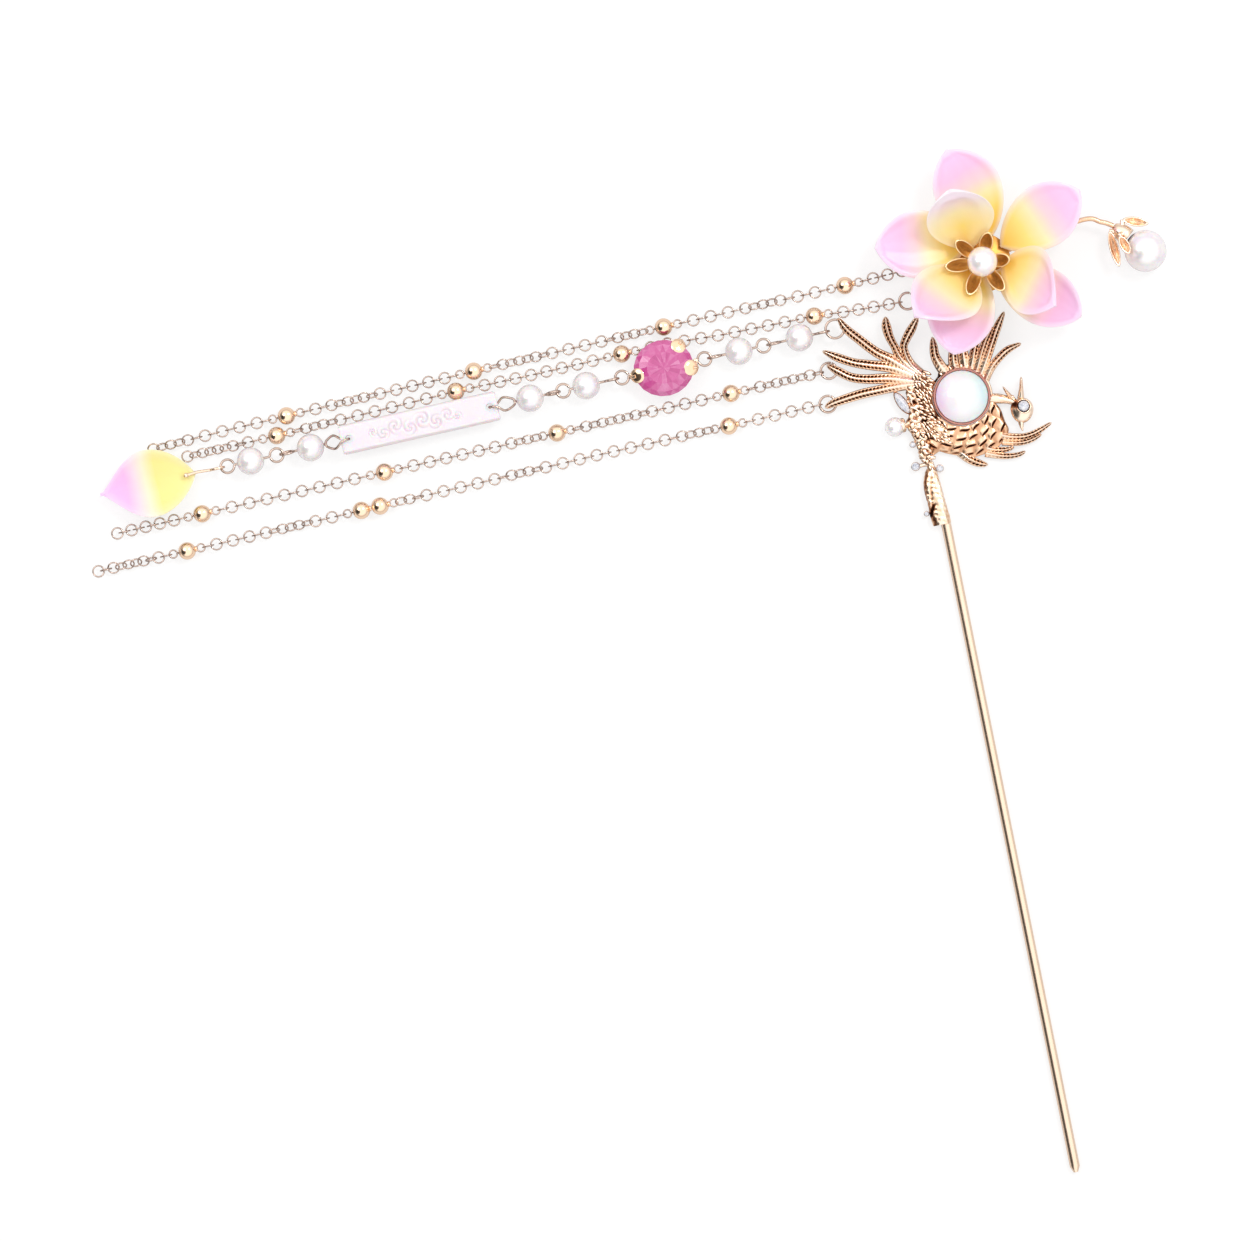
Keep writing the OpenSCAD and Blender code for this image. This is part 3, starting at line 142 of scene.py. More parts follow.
def torus(radius, thick, around=40, about=10):
    # A circle of the wire's thickness, carried round a larger one in the XY plane
    a = 2 * np.pi * np.arange(around)[:, None] / around
    b = 2 * np.pi * np.arange(about)[None, :] / about
    out = radius + thick / 2 * np.cos(b)
    rings = np.stack([out * np.cos(a), out * np.sin(a), thick / 2 * np.sin(b) + 0 * a], -1)
    return skinOf(rings, True)


def turned(profile, sides):
    # Rings of a profile of radius and height, round Z
    r, z = np.asarray(profile, float).T[:, :, None]
    a = 2 * np.pi * np.arange(sides) / sides
    return np.stack([r * np.cos(a), r * np.sin(a), z + 0 * a], -1)


def lathe(profile, sides=48, hollow=None):
    # A profile turned round Z and closed at its ends. Painted shade darkens the metal, one value per profile
    # point
    marks = {} if hollow is None else {"hollow": np.reshape(hollow, (-1, 1))}
    return skinOf(turned(profile, sides), marks=marks)


def ball(diameter, bore=0.0, rows=28, sides=40):
    # A sphere. One with a bore is open at its poles, and its skin runs back along the bore
    start = math.asin(bore / diameter) if bore else 0.02
    a = np.linspace(start, math.pi - start, rows)
    profile = diameter / 2 * np.stack([np.sin(a), -np.cos(a)], -1)
    if not bore:
        return lathe(profile, sides)
    wall = [(bore / 2, diameter * 0.4), (bore / 2, -diameter * 0.4)]
    return skinOf(turned(np.vstack([profile, wall]), sides), True)


def rod(points, steps, radius, sides=12, **more):
    # A wire along the smooth line through some points. A pair of radii tapers it
    line = smoothLine(points, steps)
    return wire(line, np.linspace(*radius, len(line)) if isinstance(radius, tuple) else radius, sides, **more)


def rotation(x=0.0, y=0.0, z=0.0):
    # Turns round X, then Y, then Z, in degrees
    turn = np.eye(3)
    for degrees, i, j in ((x, 1, 2), (y, 2, 0), (z, 0, 1)):
        step = np.eye(3)
        step[i, i] = step[j, j] = math.cos(math.radians(degrees))
        step[j, i] = math.sin(math.radians(degrees))
        step[i, j] = -step[j, i]
        turn = step @ turn
    return turn


def aim(direction):
    # The rotation that brings Z to a direction
    z = unit(np.asarray(direction, float))
    x = unit(np.cross([0, 1, 0], z))
    return np.stack([x, np.cross(z, x), z], -1)


def placed(part, at=(0, 0, 0), turn=None):
    points = part["points"] if turn is None else part["points"] @ turn.T
    return {**part, "points": points + np.asarray(at, float)}


def copies(part, turns, places):
    # One part at many places, each with its own rotation
    points = np.einsum("kij,nj->kni", turns, part["points"]) + places[:, None, :]
    shift = np.arange(len(places)) * len(part["points"])
    faces = [(f[None] + shift[:, None, None]).reshape(-1, f.shape[1]) for f in part["faces"]]
    return {"points": points.reshape(-1, 3), "faces": faces, "marks": {}}


def addMark(mesh, name, domain, values):
    mesh.attributes.new(name, "FLOAT", domain).data.foreach_set("value", values.astype(np.float32))


def makePiece(name, parts, material, node, crease=None, facetSeed=None):
    # Joins parts into one mesh at its place in the frame, and hides the node that it stands for. The angle of
    # a crease keeps edges sharp. A seed leaves all faces flat, each with a shade of its own
    starts = np.cumsum([0] + [len(p["points"]) for p in parts])[:-1]
    points = np.vstack([p["points"] for p in parts]) + (0, 0, tableHeight)
    groups = [faces + start for part, start in zip(parts, starts) for faces in part["faces"]]
    corners = np.concatenate([faces.ravel() for faces in groups])
    sizes = np.concatenate([np.full(len(faces), faces.shape[1]) for faces in groups])
    mesh = bpy.data.meshes.new(name)
    mesh.vertices.add(len(points))
    mesh.vertices.foreach_set("co", (points * mm).astype(np.float32).ravel())
    mesh.loops.add(len(corners))
    mesh.loops.foreach_set("vertex_index", corners.astype(np.int32))
    mesh.polygons.add(len(sizes))
    mesh.polygons.foreach_set("loop_start", (np.cumsum(sizes) - sizes).astype(np.int32))
    mesh.polygons.foreach_set("loop_total", sizes.astype(np.int32))
    mesh.update(calc_edges=True)
    mesh.polygons.foreach_set("use_smooth", np.full(len(sizes), facetSeed is None))
    for key in sorted({k for p in parts for k in p["marks"]}):
        values = [p["marks"].get(key, np.zeros(len(p["points"]))) for p in parts]
        addMark(mesh, key, "POINT", np.concatenate(values))
    # Each flat face gets a random value that the cut-glass materials turn into a painted reflection
    if facetSeed is not None:
        addMark(mesh, "facet", "FACE", np.random.default_rng(facetSeed).random(len(sizes)))
    if crease:
        mesh.set_sharp_from_angle(angle=math.radians(crease))
    mesh.materials.append(material)
    piece = bpy.data.objects.new(name, mesh)
    bpy.context.scene.collection.objects.link(piece)
    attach(piece, "root")
    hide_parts(node)
    return piece


def bore(piece, part):
    # Takes a part out of a finished piece
    cutter = bpy.data.meshes.new("cutter")
    points = (part["points"] + (0, 0, tableHeight)) * mm
    cutter.from_pydata(points, [], [list(f) for faces in part["faces"] for f in faces])
    holder = bpy.data.objects.new("cutter", cutter)
    bpy.context.scene.collection.objects.link(holder)
    cut = piece.modifiers.new("bore", "BOOLEAN")
    cut.object, cut.operation, cut.solver = holder, "DIFFERENCE", "EXACT"
    evaluated = piece.evaluated_get(bpy.context.evaluated_depsgraph_get())
    piece.data = bpy.data.meshes.new_from_object(evaluated)
    piece.modifiers.clear()
    bpy.data.objects.remove(holder)


# Materials

def linear(hexColour):
    # sRGB to linear light, channel by channel: a straight start, then a power of 2.4
    channels = [int(hexColour[k:k + 2], 16) / 255 for k in (1, 3, 5)]
    return tuple(c / 12.92 if c <= 0.04045 else ((c + 0.055) / 1.055) ** 2.4 for c in channels) + (1.0,)


def addNode(tree, kind, settings):
    # One node. A setting is another node's socket, or a value for an input or for the node itself
    made = tree.nodes.new(kind)
    for key, value in settings.items():
        if isinstance(value, bpy.types.NodeSocket):
            tree.links.new(value, made.inputs[key])
        elif isinstance(key, int) or key in made.inputs:
            made.inputs[key].default_value = value
        else:
            setattr(made, key, value)
    return made


def attribute(tree, name):
    return addNode(tree, "ShaderNodeAttribute", {"attribute_name": name}).outputs["Fac"]


def noise(tree, size, detail, distortion=0.0):
    # Clouds of a size in mm, on the object's own coordinates
    place = addNode(tree, "ShaderNodeTexCoord", {}).outputs["Object"]
    settings = {"Scale": 1 / mm / size, "Detail": detail, "Distortion": distortion, "Vector": place}
    return addNode(tree, "ShaderNodeTexNoise", settings).outputs["Fac"]


def product(tree, source, factor):
    return addNode(tree, "ShaderNodeMath", {"operation": "MULTIPLY", 0: source, 1: factor}).outputs["Value"]


def added(tree, source, factor, base):
    # The source times a factor, on top of a base
    settings = {"operation": "MULTIPLY_ADD", 0: source, 1: factor, 2: base}
    return addNode(tree, "ShaderNodeMath", settings).outputs["Value"]


def mapped(tree, source, before, after, curve="LINEAR"):
    # Brings a range of the source to another range
    ends = dict(zip(("From Min", "From Max", "To Min", "To Max"), (*before, *after)))
    settings = {"interpolation_type": curve, "Value": source, **ends}
    return addNode(tree, "ShaderNodeMapRange", settings).outputs["Result"]


def mixed(tree, share, first, second, kind="RGBA"):
    # Goes from the first to the second with the share, as colours or as numbers
    a, b, out = {"RGBA": (6, 7, 2), "FLOAT": (2, 3, 0)}[kind]
    return addNode(tree, "ShaderNodeMix", {"data_type": kind, 0: share, a: first, b: second}).outputs[out]


def ramp(tree, source, stops):
    # Colours along a value. Stops are pairs of position and hex colour
    made = addNode(tree, "ShaderNodeValToRGB", {"Fac": source})
    while len(made.color_ramp.elements) < len(stops):
        made.color_ramp.elements.new(0.5)
    for element, (position, colour) in zip(made.color_ramp.elements, stops):
        element.position, element.color = position, linear(colour)
    return made.outputs["Color"]


def grained(tree, shader, source, strength, depth):
    # Fine bumps in the surface, with a depth in mm
    bump = addNode(tree, "ShaderNodeBump", {"Strength": strength, "Distance": depth * mm, "Height": source})
    tree.links.new(bump.outputs["Normal"], shader.inputs["Normal"])


def newMaterial(name, settings):
    # A named material with its Principled shader, whose even settings go on its own sockets
    material = bpy.data.materials.new(name)
    material.use_nodes = True
    shader = material.node_tree.nodes["Principled BSDF"]
    for key, value in settings.items():
        shader.inputs[key].default_value = value
    return material, material.node_tree, shader


def castPlating(name, look):
    # Rose-gold plating over cast brass: pale on high spots, painted brown shade in hollows and creases, and a
    # fine cast grain
    material, tree, shader = newMaterial(name, {"Metallic": 1.0})
    hollow = attribute(tree, "hollow")
    depth = added(tree, noise(tree, look["patchMm"], 3.0), look["patchShare"], hollow)
    tree.links.new(ramp(tree, depth, look["colours"]), shader.inputs["Base Color"])
    tree.links.new(mapped(tree, hollow, (0, 1), look["rough"]), shader.inputs["Roughness"])
    grained(tree, shader, noise(tree, look["grainMm"], 2.0), look["grain"], 0.03)
    return material


# The brown of this metal is painted shade, set point by point on each part
birdMetal = castPlating("rose-gold plated cast brass, painted shade", {
    "colours": [(0.0, "#FFF0E0"), (0.28, "#FCE0C6"), (0.47, "#E8BC98"), (0.64, "#A87050"), (0.82, "#5E3522"),
                (1.0, "#341A10")],
    "patchMm": 1.5, "patchShare": 0.26, "rough": (0.2, 0.45), "grainMm": 0.22, "grain": 0.35,
})
stamenMetal = castPlating("antique gold plated stamped brass", {
    "colours": [(0.0, "#FFEEC8"), (0.3, "#F2CC8C"), (0.65, "#CE9850"), (0.9, "#A66E32"), (1.0, "#805222")],
    "patchMm": 1.4, "patchShare": 0.15, "rough": (0.3, 0.5), "grainMm": 0.15, "grain": 0.2,
})
wireMetal = castPlating("rose-gold plated drawn wire", {
    "colours": [(0.0, "#DEC8BA"), (0.35, "#B6A298"), (1.0, "#64544E")],
    "patchMm": 5.0, "patchShare": 0.5, "rough": (0.18, 0.3), "grainMm": 0.12, "grain": 0.1,
})
beadMetal = castPlating("gold plated polished beads", {
    "colours": [(0.0, "#FFE2C6"), (0.4, "#FFD4AE"), (1.0, "#9A6438")],
    "patchMm": 3.0, "patchShare": 0.12, "rough": (0.07, 0.2), "grainMm": 0.3, "grain": 0.05,
})
stickMetal = castPlating("rose-gold plated drawn brass rod", {
    "colours": [(0.0, "#FAE2CC"), (0.4, "#EFCDAE"), (1.0, "#BA8E6A")],
    "patchMm": 14.0, "patchShare": 0.2, "rough": (0.22, 0.3), "grainMm": 0.18, "grain": 0.12,
})
bezelMetal = castPlating("copper plated rim of the cup, tarnished", {
    "colours": [(0.0, "#CC998E"), (0.4, "#A87066"), (1.0, "#5E302C")],
    "patchMm": 1.2, "patchShare": 0.4, "rough": (0.25, 0.4), "grainMm": 0.15, "grain": 0.2,
})


def frostedGlass(name, look):
    # Coloured glass, acid-frosted: milky inside with a soft skin gloss. The dye runs from base to tip
    material, tree, shader = newMaterial(name, {
        "Roughness": 0.42, "IOR": 1.5, "Subsurface Weight": look["milk"], "Subsurface Scale": 0.0016,
        "Subsurface Radius": (1.0, 0.8, 0.9), "Coat Weight": look["gloss"], "Coat Roughness": 0.18,
    })
    along = added(tree, noise(tree, 9.0, 1.0), look["cloud"], attribute(tree, "along"))
    rim = mapped(tree, attribute(tree, "edge"), (0, look["rimWidth"]), (look["rim"], 0))
    dyed = mixed(tree, rim, ramp(tree, along, look["dye"]), linear(look["rimColour"]))
    tree.links.new(dyed, shader.inputs["Base Color"])
    grained(tree, shader, noise(tree, 0.35, 2.0), 0.12, 0.04)
    return material


petalGlass = {
    "milk": 0.45, "gloss": 0.25, "cloud": 0.12, "rim": 0.35, "rimWidth": 0.5, "rimColour": "#FAE8F6",
}
outerGlass = frostedGlass("frosted petal glass, outer", {**petalGlass, "rim": 0.5, "dye": [
    (0.14, "#FFCE52"), (0.34, "#FFE284"), (0.5, "#FFE9BE"), (0.63, "#FCD6DC"), (0.8, "#F8C8E8"),
    (1.0, "#F6CEF1"),
]})
innerGlass = frostedGlass("frosted petal glass, inner", {**petalGlass, "dye": [
    (0.12, "#FFC94E"), (0.36, "#FFDD84"), (0.54, "#FFE5BC"), (0.7, "#FCD1DA"), (0.88, "#F8C8E8"),
    (1.0, "#F6D0F1"),
]})
paleGlass = {**petalGlass, "milk": 0.5, "rimWidth": 0.8}
# Paler towards the tip than the inner glass: partly the glass's colour, partly a painted highlight that lifts
# the shade in its steep curl
upperGlass = frostedGlass("frosted petal glass, upper", {
    **paleGlass, "cloud": 0.1, "rimColour": "#FAF0F9", "dye": [
        (0.12, "#FFD052"), (0.4, "#FFE07C"), (0.6, "#FFEAB2"), (0.74, "#FDE8D2"), (0.88, "#F8E4EE"),
        (1.0, "#F6E8F8"),
    ],
})
dropGlass = frostedGlass("frosted petal glass of the drop", {
    **paleGlass, "gloss": 0.2, "cloud": 0.06, "rim": 0.18, "rimColour": "#FCEFFA", "dye": [
        (0.1, "#FFF2A2"), (0.42, "#FDEC98"), (0.54, "#FFF0D4"), (0.65, "#FDDDE8"), (0.76, "#F8C2EC"),
        (1.0, "#F0C6F6"),
    ],
})


def pearlMaterial():
    # Imitation pearl: nacre lacquer on a glass bead, white with a lilac-grey depth and a hard wet gloss
    material, tree, shader = newMaterial("imitation pearl, lacquered", {
        "Roughness": 0.27, "IOR": 1.6, "Coat Weight": 1.0, "Coat Roughness": 0.09, "Coat IOR": 1.6,
        "Subsurface Weight": 0.2, "Subsurface Scale": 0.0012, "Metallic": 0.32, "Sheen Weight": 0.15,
        "Sheen Tint": linear("#EBD8F4"),
    })
    stops = [(0.3, "#F6F0F0"), (0.5, "#FAF7F8"), (0.7, "#F1E9F4")]
    tree.links.new(ramp(tree, noise(tree, 2.5, 2.0), stops), shader.inputs["Base Color"])
    return material


def opalMaterial(middleX, reach):
    # Moonstone-like glass cabochon over foil: milky white, ice blue on one side and lilac on the other
    material, tree, shader = newMaterial("opaline glass cabochon, polished", {
        "Roughness": 0.12, "IOR": 1.5, "Coat Weight": 1.0, "Coat Roughness": 0.03,
        "Subsurface Weight": 0.35, "Subsurface Scale": 0.002,
    })
    place = addNode(tree, "ShaderNodeTexCoord", {}).outputs["Object"]
    x = addNode(tree, "ShaderNodeSeparateXYZ", {"Vector": place}).outputs["X"]
    across = mapped(tree, x, ((middleX - reach) * mm, (middleX + reach) * mm), (0, 1))
    stops = [(0.12, "#F3D8F4"), (0.3, "#F9F0FD"), (0.6, "#FAFBFF"), (0.88, "#EFF9FD"), (1.0, "#DDF4F9")]
    clouded = added(tree, noise(tree, 4.0, 2.0), 0.22, across)
    tree.links.new(ramp(tree, clouded, stops), shader.inputs["Base Color"])
    return material


def facetMaterial(name, colours, transmission):
    # Foil-backed cut glass: each facet gets a random lighter or darker shade of the foil's colour, a painted
    # reflection, with veins across them
    material, tree, shader = newMaterial(name, {
        "Roughness": 0.03, "IOR": 1.55, "Transmission Weight": transmission, "Coat Weight": 0.8,
        "Coat Roughness": 0.02,
    })
    veined = added(tree, noise(tree, 1.3, 4.0, 1.2), 1.0, attribute(tree, "facet"))
    tree.links.new(ramp(tree, product(tree, veined, 0.54), colours), shader.inputs["Base Color"])
    return material


def carvedMaterial():
    # Carved milky shell glass: translucent white with a breath of pink, polished, with painted grey shade in
    # the cuts
    material, tree, shader = newMaterial("carved milky glass, polished", {
        "Roughness": 0.3, "IOR": 1.5, "Subsurface Weight": 0.6, "Subsurface Scale": 0.003, "Coat Weight": 0.5,
        "Coat Roughness": 0.1,
    })
    clouded = added(tree, noise(tree, 5.0, 3.0), 0.35, attribute(tree, "hollow"))
    stops = [(0.0, "#F4EDF3"), (0.4, "#EEE6ED"), (0.8, "#DFD5DF"), (1.0, "#CCC0CC")]
    tree.links.new(ramp(tree, clouded, stops), shader.inputs["Base Color"])
    return material


cabochonAt = (8.06, 24.4)
pearlCoat = pearlMaterial()
opalGlass = opalMaterial(cabochonAt[0], 5.2)
# Facet colours from dark to light: the spread between facets is painted reflection
pinkFoil = [(0.1, "#BC3E86"), (0.35, "#D6529C"), (0.6, "#DE62A8"), (0.9, "#EC92C4")]
clearFoil = [(0.1, "#6E7684"), (0.32, "#C2C9D8"), (0.55, "#EEF0FA"), (0.9, "#FFFFFF")]
pinkGlass = facetMaterial("foil-backed pink cut glass", pinkFoil, 0.15)
clearGlass = facetMaterial("foil-backed clear cut glass", clearFoil, 0.1)
shellGlass = carvedMaterial()
print("materials")


# Stick: a plain rod with a chamfered tip, and a tang in the branch's foot
stick = {"diameter": 2.0, "length": 132.3, "chamfer": 1.2, "tip": 0.45, "tang": (1.2, 7.0)}
half = stick["diameter"] / 2
tangRadius, tangLength = stick["tang"][0] / 2, stick["tang"][1]
shaft = [0.03, *np.linspace(0.2, stick["length"] - stick["chamfer"], 60)]
rodProfile = [(tangRadius, -tangLength), (tangRadius, 0), (half - 0.05, 0)] + [(half, a) for a in shaft]
tipRadius = half * stick["tip"]
rodProfile += [(tipRadius + 0.02, stick["length"] - 0.03), (tipRadius - 0.05, stick["length"])]
stickPart = placed(lathe(rodProfile, 40), (0, 0, half), rotation(x=90))
makePiece("stickRod", [stickPart], stickMetal, "stick", crease=35)
print("stick")


# Feathers of the bird, each from tip to root. Columns: x, y, underside, half width
tailFeathers = [
    [(-13.2, 44.7, 3.3, 0.35), (-12.0, 42.2, 3.3, 0.85), (-10.0, 39.8, 2.6, 0.95), (-7.0, 36.5, 1.8, 1.0),
     (-4.0, 34.2, 1.2, 1.1), (0.5, 30.0, 0.6, 1.3)],
    [(-17.5, 38.8, 2.2, 0.35), (-15.0, 37.1, 2.0, 0.85), (-12.0, 35.4, 1.8, 0.9), (-9.0, 34.3, 1.5, 1.0),
     (-4.0, 32.6, 0.9, 1.1), (1.0, 29.3, 0.5, 1.2)],
    [(-17.2, 35.9, 1.9, 0.4), (-15.4, 34.4, 1.9, 0.85), (-13.0, 32.6, 1.7, 0.9), (-10.0, 31.6, 1.4, 0.95),
     (-5.0, 30.7, 0.8, 1.1), (1.0, 28.8, 0.5, 1.2)],
    [(-19.2, 27.6, 1.9, 0.45), (-17.0, 28.2, 1.9, 0.85), (-12.0, 28.8, 1.6, 1.0), (-8.0, 28.9, 1.2, 1.0),
     (-4.0, 28.9, 0.8, 1.0), (1.5, 28.6, 0.5, 1.0)],
    [(-3.8, 43.1, 2.6, 0.4), (-4.0, 41.2, 2.4, 0.95), (-3.8, 39.0, 2.0, 0.9), (-3.2, 37.0, 1.6, 0.8),
     (-2.2, 34.0, 1.1, 1.0), (0.5, 30.5, 0.6, 1.0)],
    [(2.5, 41.7, 2.8, 0.45), (0.9, 39.7, 2.5, 0.9), (-0.5, 38.0, 2.1, 0.9), (-1.4, 36.2, 1.6, 0.8),
     (-0.8, 33.0, 1.0, 1.0), (1.5, 29.8, 0.6, 1.0)],
]
wingFeathers = [
    [(4.6, 37.3, 2.4, 0.3), (4.5, 35.5, 2.3, 0.8), (4.4, 33.5, 1.9, 0.95), (5.0, 31.5, 1.3, 1.1),
     (6.0, 29.5, 0.8, 1.2)],
    [(8.6, 35.5, 1.6, 0.7), (7.8, 32.0, 1.3, 1.0), (8.0, 29.5, 0.6, 1.1)],
    [(11.2, 37.6, 1.6, 0.9), (10.2, 34.6, 1.6, 1.1), (9.8, 29.5, 0.6, 1.1)],
    [(13.8, 36.4, 1.8, 0.6), (12.2, 32.6, 1.5, 0.9), (10.9, 29.4, 0.6, 1.0)],
    [(16.8, 36.9, 2.4, 0.4), (15.0, 34.6, 2.1, 0.7), (13.4, 31.8, 1.6, 0.75), (12.0, 29.0, 0.8, 0.8)],
    [(19.7, 39.4, 2.6, 0.3), (18.0, 37.0, 2.6, 0.8), (16.5, 34.5, 2.2, 0.85), (14.5, 31.0, 1.5, 0.9),
     (12.6, 27.9, 0.8, 0.9)],
    [(21.8, 32.5, 2.4, 0.35), (19.0, 31.8, 2.2, 0.75), (17.0, 30.6, 1.9, 0.8), (15.0, 28.9, 1.4, 0.85),
     (13.3, 26.6, 0.8, 0.8)],
]
lowerFeathers = [
    [(24.7, 15.8, 1.2, 0.3), (22.0, 14.7, 1.2, 0.6), (20.0, 14.2, 1.1, 0.65), (18.0, 14.2, 1.0, 0.7),
     (15.0, 15.0, 0.7, 0.8), (12.5, 16.5, 0.4, 0.9)],
    [(22.3, 13.9, 1.0, 0.3), (20.0, 13.2, 0.9, 0.55), (17.5, 13.1, 0.8, 0.6), (14.2, 13.9, 0.5, 0.7)],
    [(16.4, 12.4, 0.8, 0.35), (14.5, 12.3, 0.7, 0.55), (12.5, 12.7, 0.5, 0.7), (10.5, 13.6, 0.4, 0.8)],
    [(18.5, 11.2, 0.9, 0.3), (17.0, 10.8, 0.8, 0.5), (15.0, 10.9, 0.7, 0.6), (13.0, 11.4, 0.6, 0.7),
     (10.5, 12.4, 0.4, 0.8)],
    [(10.6, 10.0, 0.7, 0.35), (9.0, 10.6, 0.6, 0.75), (7.2, 11.8, 0.4, 0.9), (5.6, 13.6, 0.3, 1.0)],
]
feather = {
    "height": 1.3, "across": 23, "step": 0.16,                # of the ridge, points over it, spacing along it
    "tip": 0.7, "thin": 0.15,                                 # length of the rounded tip, least thickness
    "groove": 0.5, "grooveWidth": 0.21, "grooveDepth": 0.6,   # place and width as shares of the half width
    "fadeFrom": 0.45, "fadeOver": 0.35, "rootGroove": 0.22,   # where grooves fade, and what is left of them
    "barbPitch": 0.76, "barbDepth": 0.72, "barbSlant": 0.6, "plain": 0.9,
    "shaft": 0.1, "shaftWidth": 0.17, "under": (0.92, 0.3, -0.3, -0.92),
}


def featherPart(rows, look):
    # The top is a dome across the feather with a raised shaft, less two grooves beside it. The grooves are
    # cut into beads along the feather, and fade towards the root. The underside is flat
    rows = np.asarray(rows, float)
    spans = np.linalg.norm(np.diff(rows[:, :2], axis=0), axis=1)
    line = smoothLine(rows, max(3, int(round(spans.mean() / look["step"]))))
    run = np.concatenate([[0], np.cumsum(np.linalg.norm(np.diff(line[:, :2], axis=0), axis=1))])[:, None]
    tip = np.sqrt(np.clip(1 - (1 - np.minimum(run / look["tip"], 1)) ** 2, 0.02, 1))
    v = np.linspace(-1, 1, look["across"])[None, :]
    dome = np.clip(1 - np.abs(v) ** 2.8, 0, 1) ** 0.7
    groove = np.exp(-((np.abs(v) - look["groove"]) / look["grooveWidth"]) ** 2)
    fade = 1 - (1 - look["rootGroove"]) * np.clip((run / run[-1] - look["fadeFrom"]) / look["fadeOver"], 0, 1)
    wave = 0.5 + 0.5 * np.cos(2 * np.pi * (run / look["barbPitch"] - look["barbSlant"] * np.abs(v)))
    cut = groove * fade * (1 - look["barbDepth"] * wave ** 1.3) * np.minimum(run / look["plain"], 1)
    ridge = look["shaft"] * np.exp(-(v / look["shaftWidth"]) ** 2)
    rise = look["height"] * tip * (0.3 + 0.7 * dome) - look["grooveDepth"] * cut + ridge
    x, y, z, half = line.T[:, :, None]
    wayX, wayY = unit(np.gradient(line[:, :2], axis=0)).T[:, :, None]

    def beside(shares, height):
        # Points beside the line, at shares of its half width
        side = shares * half * tip
        return np.stack([x - wayY * side, y + wayX * side, z + height + 0 * side], -1)

    under = np.array([look["under"]])
    rings = np.concatenate([beside(v, np.maximum(rise, look["thin"])), beside(under, 0)], 1)
    # Painted shade in the grooves, deeper where they are cut deeper, and on the feather's sides. The
    # underside gets an even painted shade
    recessShade = 1.4 * min(1.0, look["grooveDepth"] / 0.5) * cut ** 0.9
    hollow = np.clip(recessShade + 0.35 * np.clip(np.abs(v) - 0.88, 0, 1) / 0.12, 0, 1)
    return skinOf(rings, marks={"hollow": np.hstack([hollow, 0 * run + 0 * under + 0.5])})


plumes = [featherPart(rows, feather) for rows in tailFeathers + wingFeathers]
plumes += [featherPart(rows, {**feather, "height": 1.15}) for rows in lowerFeathers]
makePiece("birdFeathers", plumes, birdMetal, "phoenix")
print("feathers", sum(len(p["points"]) for p in plumes))


# Body of the bird: a plate round the cabochon, overlapping scales below it and curls on its left
bodyOutline = [
    (-0.5, 15.4), (1.7, 14.5), (3.0, 13.8), (5.0, 13.0), (7.2, 12.1), (10.0, 12.2), (12.0, 12.6),
    (14.5, 13.9), (16.0, 16.0), (15.6, 18.0), (15.2, 20.5), (14.2, 22.5), (13.9, 25.6), (13.4, 28.0),
    (11.5, 30.6), (8.0, 31.3), (5.0, 30.9), (3.6, 28.6), (1.0, 30.2), (-0.5, 29.8),
]
body = {"inner": 5.86, "floor": 0.2, "top": 2.0, "pleats": 34, "pleatDepth": 0.35, "around": 720, "out": 58}
# Rows of scales. Columns: radius of the dark slot outside the row, scales that would go all the way round
scaleRows = [(6.65, 17), (8.35, 21), (10.05, 25), (11.5, 29)]
scales = {
    "from": 194, "to": 340, "slot": 0.16, "slotDepth": 0.4,   # degrees, half width and depth of a slot
    "skew": 0.35, "hook": 0.5, "rise": 0.3, "reach": 1.35,    # a slot's slant and hooked end, a scale's size
    "sway": 0.17,                                             # how far a row winds in and out
}


